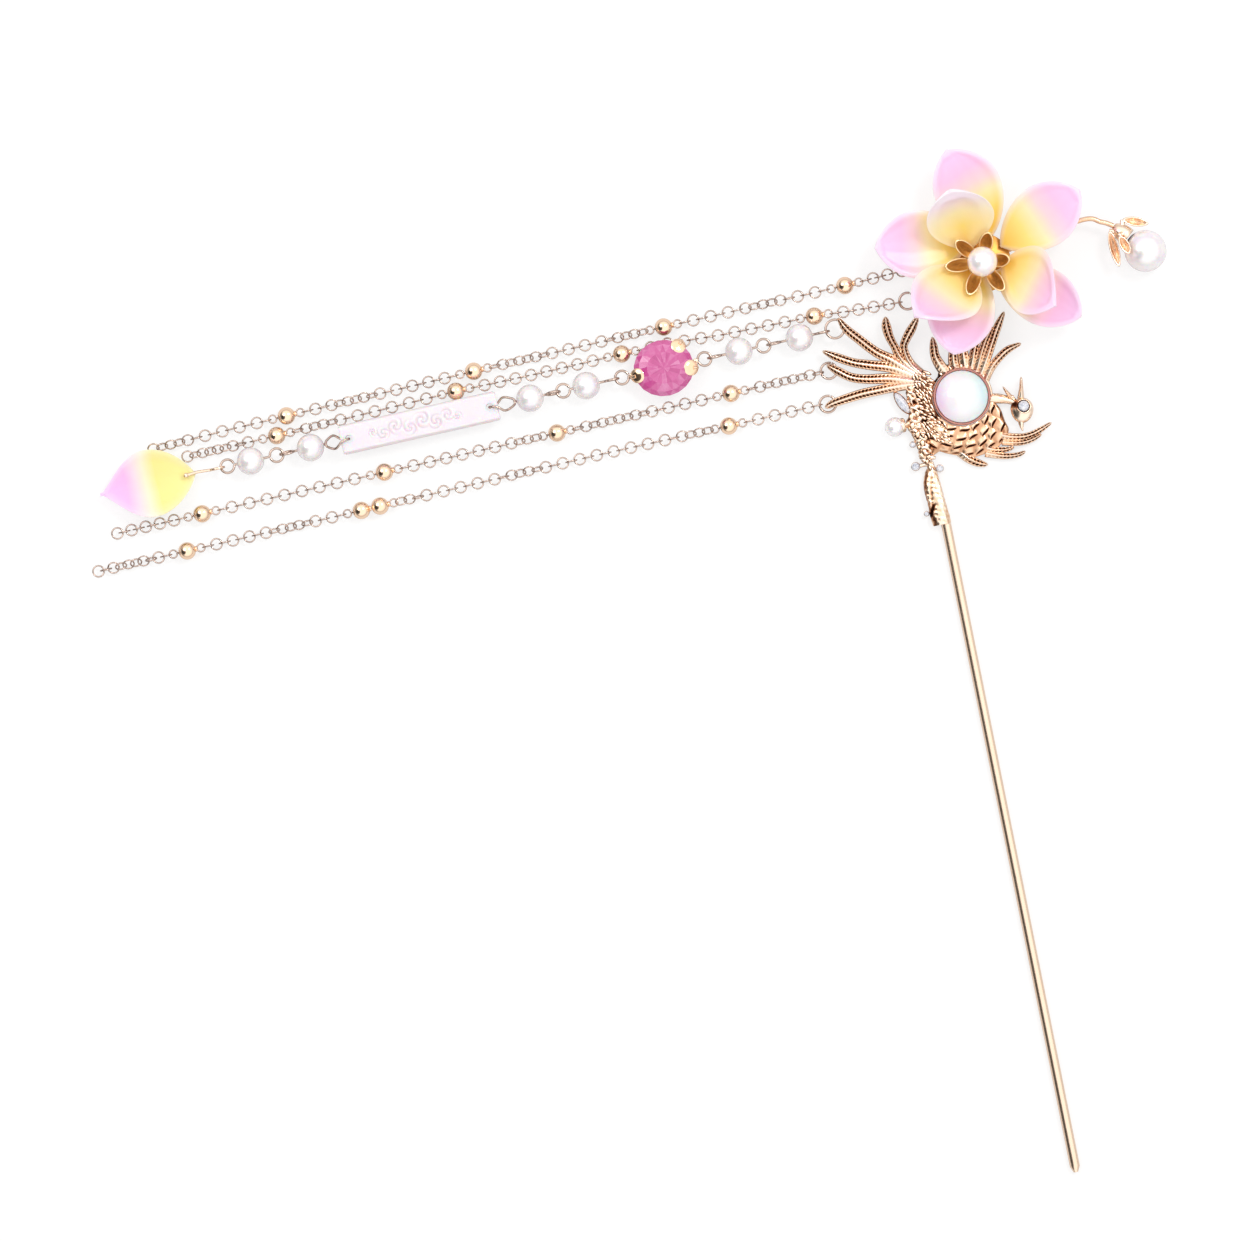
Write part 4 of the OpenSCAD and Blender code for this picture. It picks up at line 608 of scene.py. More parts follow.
def bodyPlate():
    # Rays from the cabochon's middle, from its cup to the outline, with a rounded outer edge. Above the cup,
    # pleats fan out. Below it stand rows of scales: each is a lobe that rises outward to a slanting slot,
    # whose left end hooks down. Lobe and slot both fade out towards the next scale. The rays run back below
    # as a flat underside
    outline = smoothLine(np.asarray(bodyOutline) - cabochonAt, 8, True)
    angle = np.mod(np.arctan2(outline[:, 1], outline[:, 0]), 2 * np.pi)
    order = np.argsort(angle)
    a = np.linspace(0, 2 * np.pi, body["around"], endpoint=False)
    rim = np.interp(a, angle[order], np.linalg.norm(outline, axis=1)[order], period=2 * np.pi)[:, None]
    t = np.linspace(0, 1, body["out"])[None, :]
    r = body["inner"] + (np.maximum(rim, body["inner"] + 0.4) - body["inner"]) * t
    above = np.clip((np.sin(a)[:, None] - 0.5) / 0.25, 0, 1)
    pleat = above * (0.5 + 0.5 * np.cos(body["pleats"] * a))[:, None] * (0.6 + 0.4 * t)
    degrees = np.degrees(a)[:, None]
    zone = np.clip((degrees - scales["from"]) / 8, 0, 1) * np.clip((scales["to"] - degrees) / 8, 0, 1)
    zone = zone * np.clip((1 - t) / 0.14, 0, 1)
    rise, slots = 0 * r, 0 * r
    for k, (slotAt, count) in enumerate(scaleRows):
        share = np.mod(a * count / (2 * np.pi) + 0.37 * k, 1)[:, None]
        sway = scales["sway"] * np.sin(a * 11 + 2.1 * k)[:, None]
        slant = slotAt + sway - scales["skew"] * (share - 0.5) + scales["hook"] * np.exp(-share / 0.12)
        window = np.sin(np.pi * np.clip((share - 0.02) / (0.82 + 0.5 * sway), 0, 1)) ** 0.55
        wide = scales["slot"] * (0.6 + 0.5 * window)
        slots = np.maximum(slots, window * np.exp(-((r - slant) / wide) ** 2))
        inward = slant - r
        lobe = np.clip(1 - inward / scales["reach"], 0, 1) / (1 + np.exp(-inward / 0.07))
        rise = np.maximum(rise, window * lobe)
    z = body["top"] - 0.9 * t ** 5 - body["pleatDepth"] * pleat
    z = z + zone * (scales["rise"] * rise - scales["slotDepth"] * slots)
    # Painted shade: darker in the pleats and slots, between the raised scales, towards the outline and over
    # the body's left part. The underside gets an even painted shade
    left = np.clip((degrees - 118) / 12, 0, 1) * np.clip((218 - degrees) / 14, 0, 1)
    hollow = 0.1 + 0.8 * pleat + zone * (1.05 * slots + 0.3 * (1 - rise)) + 0.2 * t ** 8 + 0.5 * left
    top = np.stack([r * np.cos(a)[:, None], r * np.sin(a)[:, None], z], -1)
    back = r[:, ::-6]
    under = np.stack([back * np.cos(a)[:, None], back * np.sin(a)[:, None], 0 * back + body["floor"]], -1)
    loop = np.concatenate([top, under], 1) + (cabochonAt[0], cabochonAt[1], 0)
    marks = {"hollow": np.clip(np.hstack([hollow, 0 * back + 0.6]), 0, 1)}
    return skinOf(loop, True, marks)


def grain(diameter):
    # A low dome on a short wall, with painted shade down its sides and none on top
    a = np.linspace(np.pi / 2, 0, 4)
    dome = np.column_stack([diameter / 2 * np.sin(a) + 0.01, diameter * 0.42 * np.cos(a)])
    return lathe([(diameter / 2, -0.5), *dome], 12, [1.0, 0.75, 0.3, 0.0, 0.0])


def curl(length, width):
    # A low oval bead: its height is a circle's, on a short wall. Painted shade darkens its edge and fades
    # towards its top
    q = np.array([1.0, 0.97, 0.86, 0.68, 0.45, 0.2, 0.02])
    height = 0.27 * np.sqrt(1 - q ** 2) - 0.3 * (q == 1)
    part = lathe(np.column_stack([q / 2, height]), 14, [1.0, 0.9, 0.65, 0.35, 0.2, 0.12, 0.1])
    return {**part, "points": part["points"] * (length, width, 1)}


def curlField():
    # Curls scattered by two irrational steps over the body's left, between the cup and the branch, that lean
    # down to the right: large ones first, then smaller ones in what they leave free
    made, taken = [], []
    k = np.arange(3200)
    x = -0.7 + np.mod(k * 0.7548776, 1) * 5.0
    y = 15.8 + np.mod(k * 0.5698402, 1) * 15.0
    outside = np.hypot(x - cabochonAt[0], y - cabochonAt[1])
    keep = (outside > 6.3) & (x < 4.4 - 0.12 * (y - 15)) & (y > 17.6 - 0.5 * x) & (y < 30.6)
    for scale, px, py in [(s, *spot) for s in (1.0, 0.62) for spot in zip(x[keep], y[keep])]:
        lean = -54 + 24 * math.sin(px * 1.3 + py * 0.6)
        c, s = math.cos(math.radians(lean)), math.sin(math.radians(lean))
        gaps = [(px - ox, py - oy) for ox, oy in taken]
        apart = [math.hypot((dx * c + dy * s) / 1.5, (dy * c - dx * s) / 0.64) for dx, dy in gaps]
        if min(apart, default=2) > 0.95 * scale ** 0.8:
            taken.append((px, py))
            length = 1.75 * scale * (1.0 + 0.2 * math.sin(px * 3.1 + py * 1.7))
            part = curl(length, 0.68 * scale ** 0.5)
            made.append(placed(part, (px, py, body["top"] - 0.08), rotation(z=lean)))
    return made


makePiece("birdBody", [bodyPlate()] + curlField(), birdMetal, "phoenix")

# Head of the bird with neck, crest and beak
head = {
    "at": (19.4, 19.6, 1.6), "radius": 2.3, "beak": (18.7, 15.3), "eye": (19.8, 20.1), "eyeDiameter": 2.2,
    "socket": 1.16, "ringOut": 1.36,
}
neckLook = {**feather, "grooveDepth": 0.1, "across": 19, "shaft": 0.0, "barbDepth": 0.0}
crestLook = {**feather, "grooveDepth": 0.15, "across": 11}


def headParts():
    # The skull is a flattened sphere, drawn out towards the beak by a cosine of the angle to it. A round
    # socket is sunk into its top with a raised ring. The socket, its edge and the cheek behind it get painted
    # shade
    hx, hy, hz = head["at"]
    a = np.linspace(0.01, np.pi - 0.02, 70)[:, None]
    b = 2 * np.pi * np.arange(96)[None, :] / 96
    toBeak = math.atan2(head["beak"][1] - hy, head["beak"][0] - hx)
    pull = 1 + 0.22 * np.clip(np.cos(b - toBeak), 0, 1) ** 3
    x = head["radius"] * np.sin(a) * np.cos(b) * pull
    y = head["radius"] * np.sin(a) * np.sin(b) * pull
    z = head["radius"] * 0.6 * np.cos(a) + 0 * b
    fromEye = np.hypot(x - head["eye"][0] + hx, y - head["eye"][1] + hy)
    isTop = z > 0
    sunk = isTop / (1 + (fromEye / head["socket"]) ** 24)
    ring = isTop * np.exp(-((fromEye - head["ringOut"]) / 0.13) ** 2)
    seat = head["radius"] * 0.6 - 0.62
    z = np.where(isTop, z + (seat - z) * sunk + 0.2 * ring, z)
    cheekShade = isTop * np.exp(-((x + 1.25) ** 2 + (y - 1.15) ** 2) / 0.75)
    socketRimShade = isTop * np.exp(-((fromEye - head["socket"]) / 0.11) ** 2)
    hollow = np.clip(0.95 * sunk + 0.8 * socketRimShade + 0.9 * cheekShade + 0.03, 0, 1)
    skull = skinOf(np.stack([x + hx, y + hy, z + hz], -1), marks={"hollow": hollow})
    beakWay = [(hx - 0.6, hy - 1.9, hz), (hx - 0.75, hy - 3.2, hz - 0.1), (*head["beak"], hz - 0.3)]
    neck = [(19.0, 20.6, 0.5, 0.8), (17.6, 21.6, 0.9, 0.7), (15.8, 22.4, 1.2, 0.95), (14.2, 22.8, 1.2, 1.0),
            (12.9, 22.8, 1.0, 0.6)]
    crests = [
        [(20.5, 26.0, 1.5, 0.25), (20.1, 24.0, 1.4, 0.4), (19.6, 21.8, 1.0, 0.7)],
        [(16.5, 24.8, 1.4, 0.2), (17.2, 23.3, 1.3, 0.35), (18.2, 21.6, 1.0, 0.5)],
    ]
    made = [skull, rod(beakWay, 8, (0.75, 0.14), 14), featherPart(neck, neckLook)]
    made += [featherPart(c, crestLook) for c in crests]
    return made + [placed(grain(0.75), (17.3, 22.9, 2.0)), placed(grain(0.65), (18.0, 22.4, 2.0))]


def lugPart(ring, height):
    # A small upright ring for the right side of a jump ring
    return placed(torus(0.65, 0.4, 24, 10), (ring[0] + ring[2], ring[1], height), rotation(x=90))


chainHeight = 1.335
strandHeight = 2.75
rings = {
    "ring_1": (5.0, 51.6, 1.6), "ring_2": (1.2, 45.3, 1.65), "ring_3": (-17.0, 34.7, 1.6),
    "ring_4": (-18.5, 28.2, 1.65), "ring_5": (-14.2, 42.65, 1.85),
}
lugs = [lugPart(rings[node], height) for node, height in
        (("ring_3", chainHeight), ("ring_4", chainHeight), ("ring_5", strandHeight))]
makePiece("birdHead", headParts() + lugs, birdMetal, "phoenix")
print("bird")


# Cabochon and its cup
cup = {"stone": 10.4, "edge": 2.2, "dome": 2.6, "wall": 0.5, "floor": 0.8, "fit": 0.05}
stoneRadius = cup["stone"] / 2
inner = stoneRadius + cup["fit"]
outer, rimHeight = inner + cup["wall"], cup["floor"] + cup["edge"]
cupProfile = [
    (0.01, 0), (outer - 0.05, 0), (outer, 0.05), (outer, rimHeight - 0.15), (outer - 0.12, rimHeight),
    (inner + 0.12, rimHeight), (inner, rimHeight - 0.12), (inner, cup["floor"]), (0.01, cup["floor"]),
]
cupPart = placed(lathe(cupProfile, 96), (*cabochonAt, 0))
makePiece("stoneCup", [cupPart], bezelMetal, "bezel", crease=40)
domeBall = (stoneRadius ** 2 + cup["dome"] ** 2) / (2 * cup["dome"])
domeAngle = np.linspace(math.asin(stoneRadius / domeBall), 0.004, 30)
domeMiddle = cup["edge"] + cup["dome"] - domeBall
stoneProfile = [(0.01, 0), (stoneRadius - 0.1, 0), (stoneRadius, 0.1), (stoneRadius, cup["edge"] - 0.05)]
stoneProfile += [(domeBall * math.sin(a), domeMiddle + domeBall * math.cos(a)) for a in domeAngle]
cabochonPart = placed(lathe(stoneProfile, 96), (*cabochonAt, cup["floor"] + cup["fit"]))
makePiece("cabochonStone", [cabochonPart], opalGlass, "cabochon", crease=40)
print("cabochon")


def gem(belts, sides, length, width):
    # Belts of facets on ovals from the culet to the table. Columns: share of the size, height, half steps of
    # turn. Between two belts each four-cornered face is split along its shorter diagonal
    share, z, half_ = (np.array(column, float)[:, None] for column in zip(*belts))
    a = 2 * np.pi * (np.arange(sides)[None, :] + half_ / 2) / sides
    part = skinOf(np.stack([length / 2 * share * np.cos(a), width / 2 * share * np.sin(a), z + 0 * a], -1))
    quads, fans = part["faces"]
    reach = np.linalg.norm(part["points"][quads[:, [0, 1]]] - part["points"][quads[:, [2, 3]]], axis=-1)
    first = (reach[:, 0] <= reach[:, 1])[:, None]
    one = np.where(first, quads[:, [0, 1, 2]], quads[:, [0, 1, 3]])
    two = np.where(first, quads[:, [0, 2, 3]], quads[:, [1, 2, 3]])
    return {**part, "faces": [np.vstack([one, two]), fans]}


def brilliant(diameter, up, down):
    belts = [(0.3, -down, 0), (1, -0.05 * diameter, 1), (1, 0, 1), (0.8, up * 0.6, 0), (0.52, up, 1)]
    return gem(belts, 12, diameter, diameter)


# Branch: knobbly bark, with its stones, a pearl and a pod-shaped foot
branchRows = [
    (-1.6, 28.4, 1.05, 0.8), (-1.5, 25.0, 1.15, 0.8), (-1.6, 23.2, 1.15, 0.95), (-2.2, 21.4, 1.7, 1.0),
    (-1.9, 19.0, 1.4, 0.95), (-1.5, 17.0, 1.2, 0.9), (-1.3, 15.0, 1.3, 0.95), (-1.4, 13.9, 1.1, 0.9),
    (-1.1, 12.8, 0.85, 0.8), (-0.7, 11.9, 0.7, 0.75), (-0.9, 11.0, 1.1, 0.85), (-1.2, 9.0, 1.6, 0.95),
    (-1.2, 7.0, 1.8, 1.0), (-1.05, 5.0, 1.8, 1.0), (-0.95, 3.0, 1.85, 1.0), (-0.85, 1.2, 1.85, 1.0),
    (-0.8, 0.05, 1.75, 0.95),
]
branch = {"thick": 2.6, "around": 64, "steps": 16, "bump": 0.15, "ditch": 0.6}
# Slots in its top. Columns: x, y, lean, half length, half width, share of the full depth
branchSlots = [
    (-2.3, 3.05, 64, 1.5, 0.3, 1.0), (-1.55, 25.1, 86, 0.6, 0.3, 1.0), (-1.6, 7.4, 80, 2.6, 0.22, 0.5),
]
# Knots of the bark. Columns: x, y, width, lean
barkKnots = [
    (-2.6, 22.4, 1.1, 60), (-1.4, 22.8, 1.0, 110), (-2.8, 20.6, 1.1, 75), (-1.5, 20.4, 1.1, 105),
    (-2.1, 18.7, 1.1, 65), (-1.1, 18.4, 0.8, 120), (-1.5, 16.8, 1.1, 80), (-2.3, 16.2, 0.7, 50),
    (-1.4, 15.0, 1.0, 100), (-0.8, 13.9, 0.8, 20), (-1.3, 13.0, 0.8, 70), (-1.0, 11.7, 0.7, 95),
]
# Columns: x, y, diameter, x of its arm's root
smallStones = [
    (-3.7, 12.5, 1.7, -1.2), (0.95, 11.2, 1.5, -0.6), (-3.4, 16.9, 1.2, -1.6), (-3.4, 2.8, 1.0, -1.5),
]
marquise = {"at": (-3.9, 25.5), "turn": 24, "length": 4.9, "width": 1.8}
stoneHeight = branch["thick"] * 0.62
branchPearl = {"at": (-6.3, 21.1, 1.95), "diameter": 3.9}


def branchPart():
    # Ovals along the branch. Over its upper part a few crossing waves push them in and out into knobs and
    # pits. Over the pod a few long folds run down, crossed by slanting dents. Slots are sunk into the top
    line = smoothLine(branchRows, branch["steps"])
    a = 2 * np.pi * np.arange(branch["around"])[None, :] / branch["around"]
    y = line[:, 1:2]
    bark = np.clip((y - 10.5) / 2, 0, 1)
    knobs = np.sin(y * 3.3 + 2.2 * np.sin(a * 2)) * np.sin(a * 3 + y * 1.3) + 0.6 * np.sin(y * 5.7 - a * 5)
    folds = np.cos(a * 4 + 0.55 * y) + 0.4 * np.cos(a * 7 - 0.8 * y)
    dents = np.sin(y * 2.3 + 5 * a) * np.sin(y * 3.4 - 8 * a)
    dents = dents + 0.5 * np.sin(y * 4.7 + 3 * a) * np.sin(y * 1.9 - 11 * a)
    push = branch["bump"] * knobs * bark + (0.05 * folds + 0.045 * dents) * (1 - bark)
    tall = branch["thick"] * line[:, 3:4] / 2
    flat = np.sign(np.sin(a)) * np.abs(np.sin(a)) ** 0.8
    x = line[:, :1] + (line[:, 2:3] + push) * np.sign(np.cos(a)) * np.abs(np.cos(a)) ** 0.85
    z = np.maximum(tall + (tall + push) * flat, 0.0)
    ditch = 0 * z
    for atX, atY, lean, length, width, share in branchSlots:
        # Gaussian across the slot, and flatter along it
        c, s = math.cos(math.radians(lean)), math.sin(math.radians(lean))
        u, w = (x - atX) * c + (y - atY) * s, (y - atY) * c - (x - atX) * s
        ditch = ditch + share * (z > tall) * np.exp(-(w / width) ** 2) * np.exp(-(u / length) ** 4)
    z = z - branch["ditch"] * ditch
    # Painted light: a band of painted shade down the pod's left side, a painted highlight on knobs and folds
    # with painted shade in the pits, and painted shade in the slots
    shadeAt = np.interp(y, [1, 2.5, 4.5, 6, 8, 12, 14], [-2.2, -2.6, -2.75, -2.95, -2.75, -1.25, -1.2])
    podEdgeShade = np.exp(-((x - shadeAt) / 0.45) ** 2) * (1 - bark)
    bumpLightAndShade = 0.4 * knobs * bark + (0.1 * folds + 0.13 * dents) * (1 - bark)
    hollow = np.clip(0.14 - bumpLightAndShade + 0.75 * ditch + 0.35 * podEdgeShade, 0, 1)
    return skinOf(np.stack([x, y + 0 * a, z], -1), marks={"hollow": hollow})


def trayParts():
    # Each small stone stands in a round cup on an arm from the branch. The cup gets painted shade, most
    # inside
    made = []
    for x, y, diameter, root in smallStones:
        rim = diameter / 2
        wall = [(rim * 0.6, -0.75), (rim + 0.05, -0.7), (rim + 0.06, -0.45), (rim * 0.8, -0.46), (0.02, -0.5)]
        made.append(placed(lathe(wall, 24, [0.5, 0.2, 0.1, 0.8, 1.0]), (x, y, stoneHeight)))
        arm = [(x, -0.75), ((x + root) / 2, -0.85), (root, -0.6)]
        made.append(rod([(ax, y, stoneHeight + low) for ax, low in arm], 6, 0.3 * diameter ** 0.5, 10))
    return made


def pointedOval(width, length, sides, point=0.35):
    # An oval whose half width is multiplied by a power of itself, which draws its ends to points
    a = 2 * np.pi * np.arange(sides) / sides
    return np.stack([width / 2 * np.cos(a) * np.abs(np.cos(a)) ** point, length / 2 * np.sin(a)], -1)


def marquiseRings(sides, rows):
    # Pointed ovals over each other. Columns of a row: share of the size, height
    oval = pointedOval(marquise["width"], marquise["length"], sides)
    return [np.column_stack([oval * scale, np.full(sides, z)]) for scale, z in rows]


def marquiseCup():
    rows = [(0.5, -0.85), (1.02, -0.75), (1.14, -0.4), (1.14, 0.0), (1.04, 0.05), (1.0, -0.2), (0.4, -0.55)]
    # Painted shade, most on the cup's inside
    shade = np.array([0.6, 0.5, 0.4, 0.3, 0.7, 1.0, 1.0])[:, None]
    part = skinOf(marquiseRings(36, rows), marks={"hollow": shade})
    return placed(part, (*marquise["at"], stoneHeight), rotation(z=marquise["turn"]))


def branchDetails():
    made = [branchPart(), marquiseCup()] + trayParts()
    for x, y, size, lean in barkKnots:
        made.append(placed(curl(size * 1.5, size), (x, y, branch["thick"] * 0.93), rotation(z=lean)))
    made.append(rod([(-1.2, 13.7, 1.2), (-0.3, 13.7, 1.3), (0.5, 13.4, 1.2)], 6, (0.65, 0.3)))
    made.append(rod([(-3.9, 25.5, 0.85), (-2.9, 25.5, 0.9), (-1.8, 25.5, 0.95)], 4, 0.5, 10))
    return made


def clearStone(name, part, at, node, seed, turn=None):
    makePiece(name, [placed(part, at, turn)], clearGlass, node, facetSeed=seed)


makePiece("branchBark", branchDetails(), birdMetal, "branch")
for index, (x, y, diameter, _) in enumerate(smallStones):
    part = brilliant(diameter, 0.5, 0.45)
    at = (x, y, stoneHeight + 0.05)
    clearStone(f"branchStone{index + 2}", part, at, f"branch_stone_{index + 2}", 11 + index)
part = skinOf(marquiseRings(14, [(0.45, -0.45), (1, -0.12), (1, 0.0), (0.8, 0.35), (0.5, 0.6)]))
at = (*marquise["at"], stoneHeight + 0.05)
clearStone("branchStone1", part, at, "branch_stone_1", 3, rotation(z=marquise["turn"]))
at = (*head["eye"], head["at"][2] + head["radius"] * 0.6 - 0.3)
clearStone("headStone", brilliant(head["eyeDiameter"], 0.6, 0.4), at, "eye_stone", 5)
pearlTurn = rotation(y=90)
part = placed(ball(branchPearl["diameter"], 0.6), branchPearl["at"], pearlTurn)
makePiece("branchPearlBead", [part], pearlCoat, "branch_pearl")
# Outwards from the pearl's middle: the pin, the cup against the pearl, and the peg in the branch
capProfile = [
    (0.01, 0.3), (0.25, 0.32), (0.25, 1.45), (1.05, 1.72), (1.4, 1.42), (1.5, 1.5), (1.38, 2.0),
    (1.0, 2.25), (0.25, 2.27), (0.25, 3.2), (0.01, 3.25),
]
part = placed(lathe(capProfile, 32), branchPearl["at"], pearlTurn)
makePiece("branchPearlCup", [part], birdMetal, "branch_pearl_cap", crease=50)
print("branch")


# Glass petals. A form is length, share of it to the widest place, and power of the tip's curve
petal = {"width": 13.6, "thick": 1.5, "height": 5.7, "along": 84, "around": 72}
outerForm, innerForm = (19.5, 0.57, 0.7), (17.0, 0.5, 0.9)
upperForm, dropForm = (17.0, 0.5, 0.5), (19.5, 0.49, 1.35)
# Columns: base x, base y, lift, azimuth, tilt, curl, cup, sideways run of the tip, share of the width,
# height of the lip, and its way in from the rim
outerPetals = [
    (20.4, 54.8, 0, 108, 4, 10, 1.6, 0, 1, 0.25, 0.9),
    (21.4, 52.2, 0.1, 24, 4, 10, 1.6, 0, 0.94, 0.25, 0.9),
    (19.4, 47.6, 0, -39.5, 3, 8, 1.6, 0, 0.86, 0.25, 0.9),
    (14.9, 51.0, 0, 249, 2, 6, 1.4, 0, 1, 0.25, 0.9),
    (15.8, 54.7, 0.1, 174, 4, 10, 1.6, 0, 1, 0.25, 0.9),
]
innerPetals = [
    (15.1, 52.7, 2.2, 95, 12, 60, 2.0, 0.8, 1.0, 0.35, 2.3),
    (14.7, 49.1, 2.15, 222, 12, 32, 2.0, -3.2, 1.02, 0.28, 1.3),
    (20.9, 48.9, 2.3, -36, 14, 48, 2.0, -3.8, 0.98, 0.28, 1.3),
]


def petalPart(form, bend, lip, lipAt):
    # A closed loop across the petal, carried along its bent midrib. Its half width swells to the widest
    # place and falls to the tip. The cup lifts it with the square of the way across, to a lip at its rim
    length, widest, power = form
    tilt, curl, cupped, run, share = bend
    s = np.linspace(0, 1, petal["along"])
    u = (0.5 - 0.5 * np.cos(np.pi * s))[:, None]
    t = 2 * np.pi * np.arange(petal["around"])[None, :] / petal["around"]
    before = np.clip(1 - ((widest - u) / widest) ** 2, 0, None) ** 0.8
    after = np.clip(1 - ((u - widest) / (1 - widest)) ** 2, 0, None) ** power
    wide = np.maximum(0.05, np.where(u < widest, before, after))
    v = np.cos(t)
    face = np.sign(np.sin(t)) * np.abs(np.sin(t)) ** 0.55
    toRim = np.minimum((1 - np.abs(v)) * wide * petal["width"] / 2 * share, (1 - u) * length)
    ridge = lip * np.exp(-((toRim - lipAt) / (0.4 + 0.35 * lipAt)) ** 2) * np.clip(u / 0.25, 0, 1)
    veins = 0.02 * np.cos(5 * np.pi * v) * np.clip(u * 3, 0, 1) * np.clip(toRim / 2, 0, 1)
    thick = petal["thick"] / 2 * (1 - 0.55 * v ** 2) * (0.45 + 0.55 * wide)
    up = cupped * v ** 2 * wide + (ridge + veins) * (face > 0) + face * thick
    turn = math.radians(curl)
    angle = np.radians(tilt + curl * u)
    start = math.radians(tilt)
    x = length * (np.sin(angle) - math.sin(start)) / turn
    z = length * (math.cos(start) - np.cos(angle)) / turn
    y = v * share * petal["width"] / 2 * wide + run * u ** 2
    points = np.stack([x - up * np.sin(angle), y, z + up * np.cos(angle)], -1)
    return skinOf(points, marks={"along": u + 0 * t, "edge": np.clip(toRim / (3.3 * lipAt), 0, 1)})


def petalPiece(name, row, form, material, node):
    shape = petalPart(form, row[4:9], row[9], row[10])
    part = placed(shape, (row[0], row[1], petal["height"] + row[2]), rotation(z=row[3]))
    makePiece(name, [part], material, node)


for index, row in enumerate(outerPetals):
    petalPiece(f"outerPetal{index + 1}", row, outerForm, outerGlass, f"petal_{index + 1}")
petalPiece("innerPetal1", innerPetals[0], upperForm, upperGlass, "petal_6")
petalPiece("innerPetal2", innerPetals[1], innerForm, innerGlass, "petal_7")
petalPiece("innerPetal3", innerPetals[2], innerForm, innerGlass, "petal_8")
print("petals")


# Stamen cap, its pearl and pin, and the frame behind the flower
flowerAt = (17.0, 49.8)
frameHeight = petal["height"] - petal["thick"] / 2 - 0.85
capHeight = petal["height"] + innerPetals[0][2] + petal["thick"] / 2 + 0.35
flowerPearl, pinHead = 6.0, 0.5
flowerPearlHeight = capHeight + 0.3 + cup["fit"] + flowerPearl / 2
leafLook = {"length": 5.5, "width": 2.85, "depth": 0.9, "wall": 0.3, "around": 40, "ribs": 0.05, "steps": 9}
# Columns: azimuth, share of the length
leaves = [(131, 0.95), (67, 0.82), (-6, 0.72), (-65, 1.03), (-124, 1.03), (177, 1.1)]


def leafPart(length, width, point=0.06, recessShade=0.5):
    # Pointed ovals from the shell's bottom up to its rim, and from the rim down inside, where ribs fan out
    around, depth, wall, steps = (leafLook[key] for key in ("around", "depth", "wall", "steps"))
    oval = pointedOval(width, length, around, point)
    inside = pointedOval(width - 2 * wall, length - 3 * wall, around, point)
    ribs = leafLook["ribs"] * np.abs(np.sin(6 * np.pi * np.arange(around) / around))
    k = np.sin(np.linspace(0.08, 1, steps) * np.pi / 2)
    rows = [(oval * q, depth * q ** 3 + 0 * ribs) for q in k]
    rows.append((oval * 0.6 + inside * 0.4, depth + 0.06 + 0 * ribs))
    rows += [(inside * q, wall + (depth - wall) * q ** 3 - ribs * (1 - q)) for q in k[::-1]]
    # Painted shade: even on the outside, none on the rim, and deeper towards the floor inside
    shade = np.concatenate([np.full(steps, 0.35), [0.0], recessShade * (0.6 + 1.1 * (1 - k[::-1] ** 3))])[:, None]
    part = skinOf([np.column_stack(row) for row in rows], marks={"hollow": shade})
    return placed(part, (length / 2, 0, 0), rotation(z=90))


def flowerCapParts():
    disc = lathe([(0.5, 0), (2.9, 0), (3.05, 0.15), (2.9, 0.3), (0.5, 0.3)], 36)
    made = [placed(disc, (*flowerAt, capHeight))]
    for azimuth, share in leaves:
        leaf = leafPart(leafLook["length"] * share + 0.4, leafLook["width"])
        leaf = placed(leaf, (1.88, 0, -0.4), rotation(y=-22))
        made.append(placed(leaf, (*flowerAt, capHeight), rotation(z=azimuth)))
    return made


makePiece("stamenLeaves", flowerCapParts(), stamenMetal, "flower_cap")
part = placed(ball(flowerPearl, 0.0, 40, 56), (*flowerAt, flowerPearlHeight))
makePiece("flowerPearlBead", [part], pearlCoat, "flower_pearl")
pinFoot = frameHeight - 0.5 - cup["fit"] - pinHead
pinTop = flowerPearlHeight - pinFoot
pinProfile = [(0.01, 0), (0.85, 0), (0.9, 0.05), (0.9, pinHead - 0.05)]
pinProfile += [(0.45, pinHead), (0.45, pinTop), (0.01, pinTop)]
part = placed(lathe(pinProfile, 28), (*flowerAt, pinFoot))
makePiece("flowerPinWire", [part], birdMetal, "flower_pin", crease=40)

spineFoot = (10.6, 36.2)
stemRoute = [(20.5, 50.8), (37.7, 54.2), (42.2, 53.1), (44.4, 51.9)]


def ringArm(ring):
    # A bar from the flower's middle to a knee, and a thinner one down to the lug of a jump ring
    x, y = ring[0] + ring[2], ring[1]
    knee = (x + 2.5, y, frameHeight)
    level = [(*flowerAt, frameHeight), (x + 3.4, y + 0.15 * (flowerAt[1] - y), frameHeight), knee]
    down = [knee, (x + 1.2, y, frameHeight - 0.9), (x, y, chainHeight + 0.6)]
    return [rod(level, 10, 0.5, 14), rod(down, 8, 0.27), lugPart(ring, chainHeight)]


def frameParts():
    # A spine down into the bird, a stem to the bud, and two arms to jump rings
    spine = [(*flowerAt, frameHeight), (13.6, 42.6, frameHeight), (10.9, 36.9, frameHeight - 0.05)]
    spine += [(*spineFoot, frameHeight - 0.7), (*spineFoot, 0.3)]
    made = [rod(spine, 10, (0.5, 0.42), 14, up=(1, 0, 0.05))]
    made.append(rod([(x, y, frameHeight) for x, y in stemRoute], 14, 0.5, 16, marks={"hollow": 0.28}))
    return made + ringArm(rings["ring_1"]) + ringArm(rings["ring_2"])


makePiece("flowerWires", frameParts(), birdMetal, "flower_frame", crease=50)
# The hub, under the petals, gets an even painted shade
hub = lathe([(0.5, -0.8), (5.9, -0.8), (6.0, -0.7), (6.0, -0.1), (5.9, 0), (0.5, 0)], 64, [0.6] * 6)
hub = placed(hub, (*flowerAt, petal["height"] - petal["thick"] * 0.42))
makePiece("flowerHub", [hub], stamenMetal, "flower_frame", crease=50)

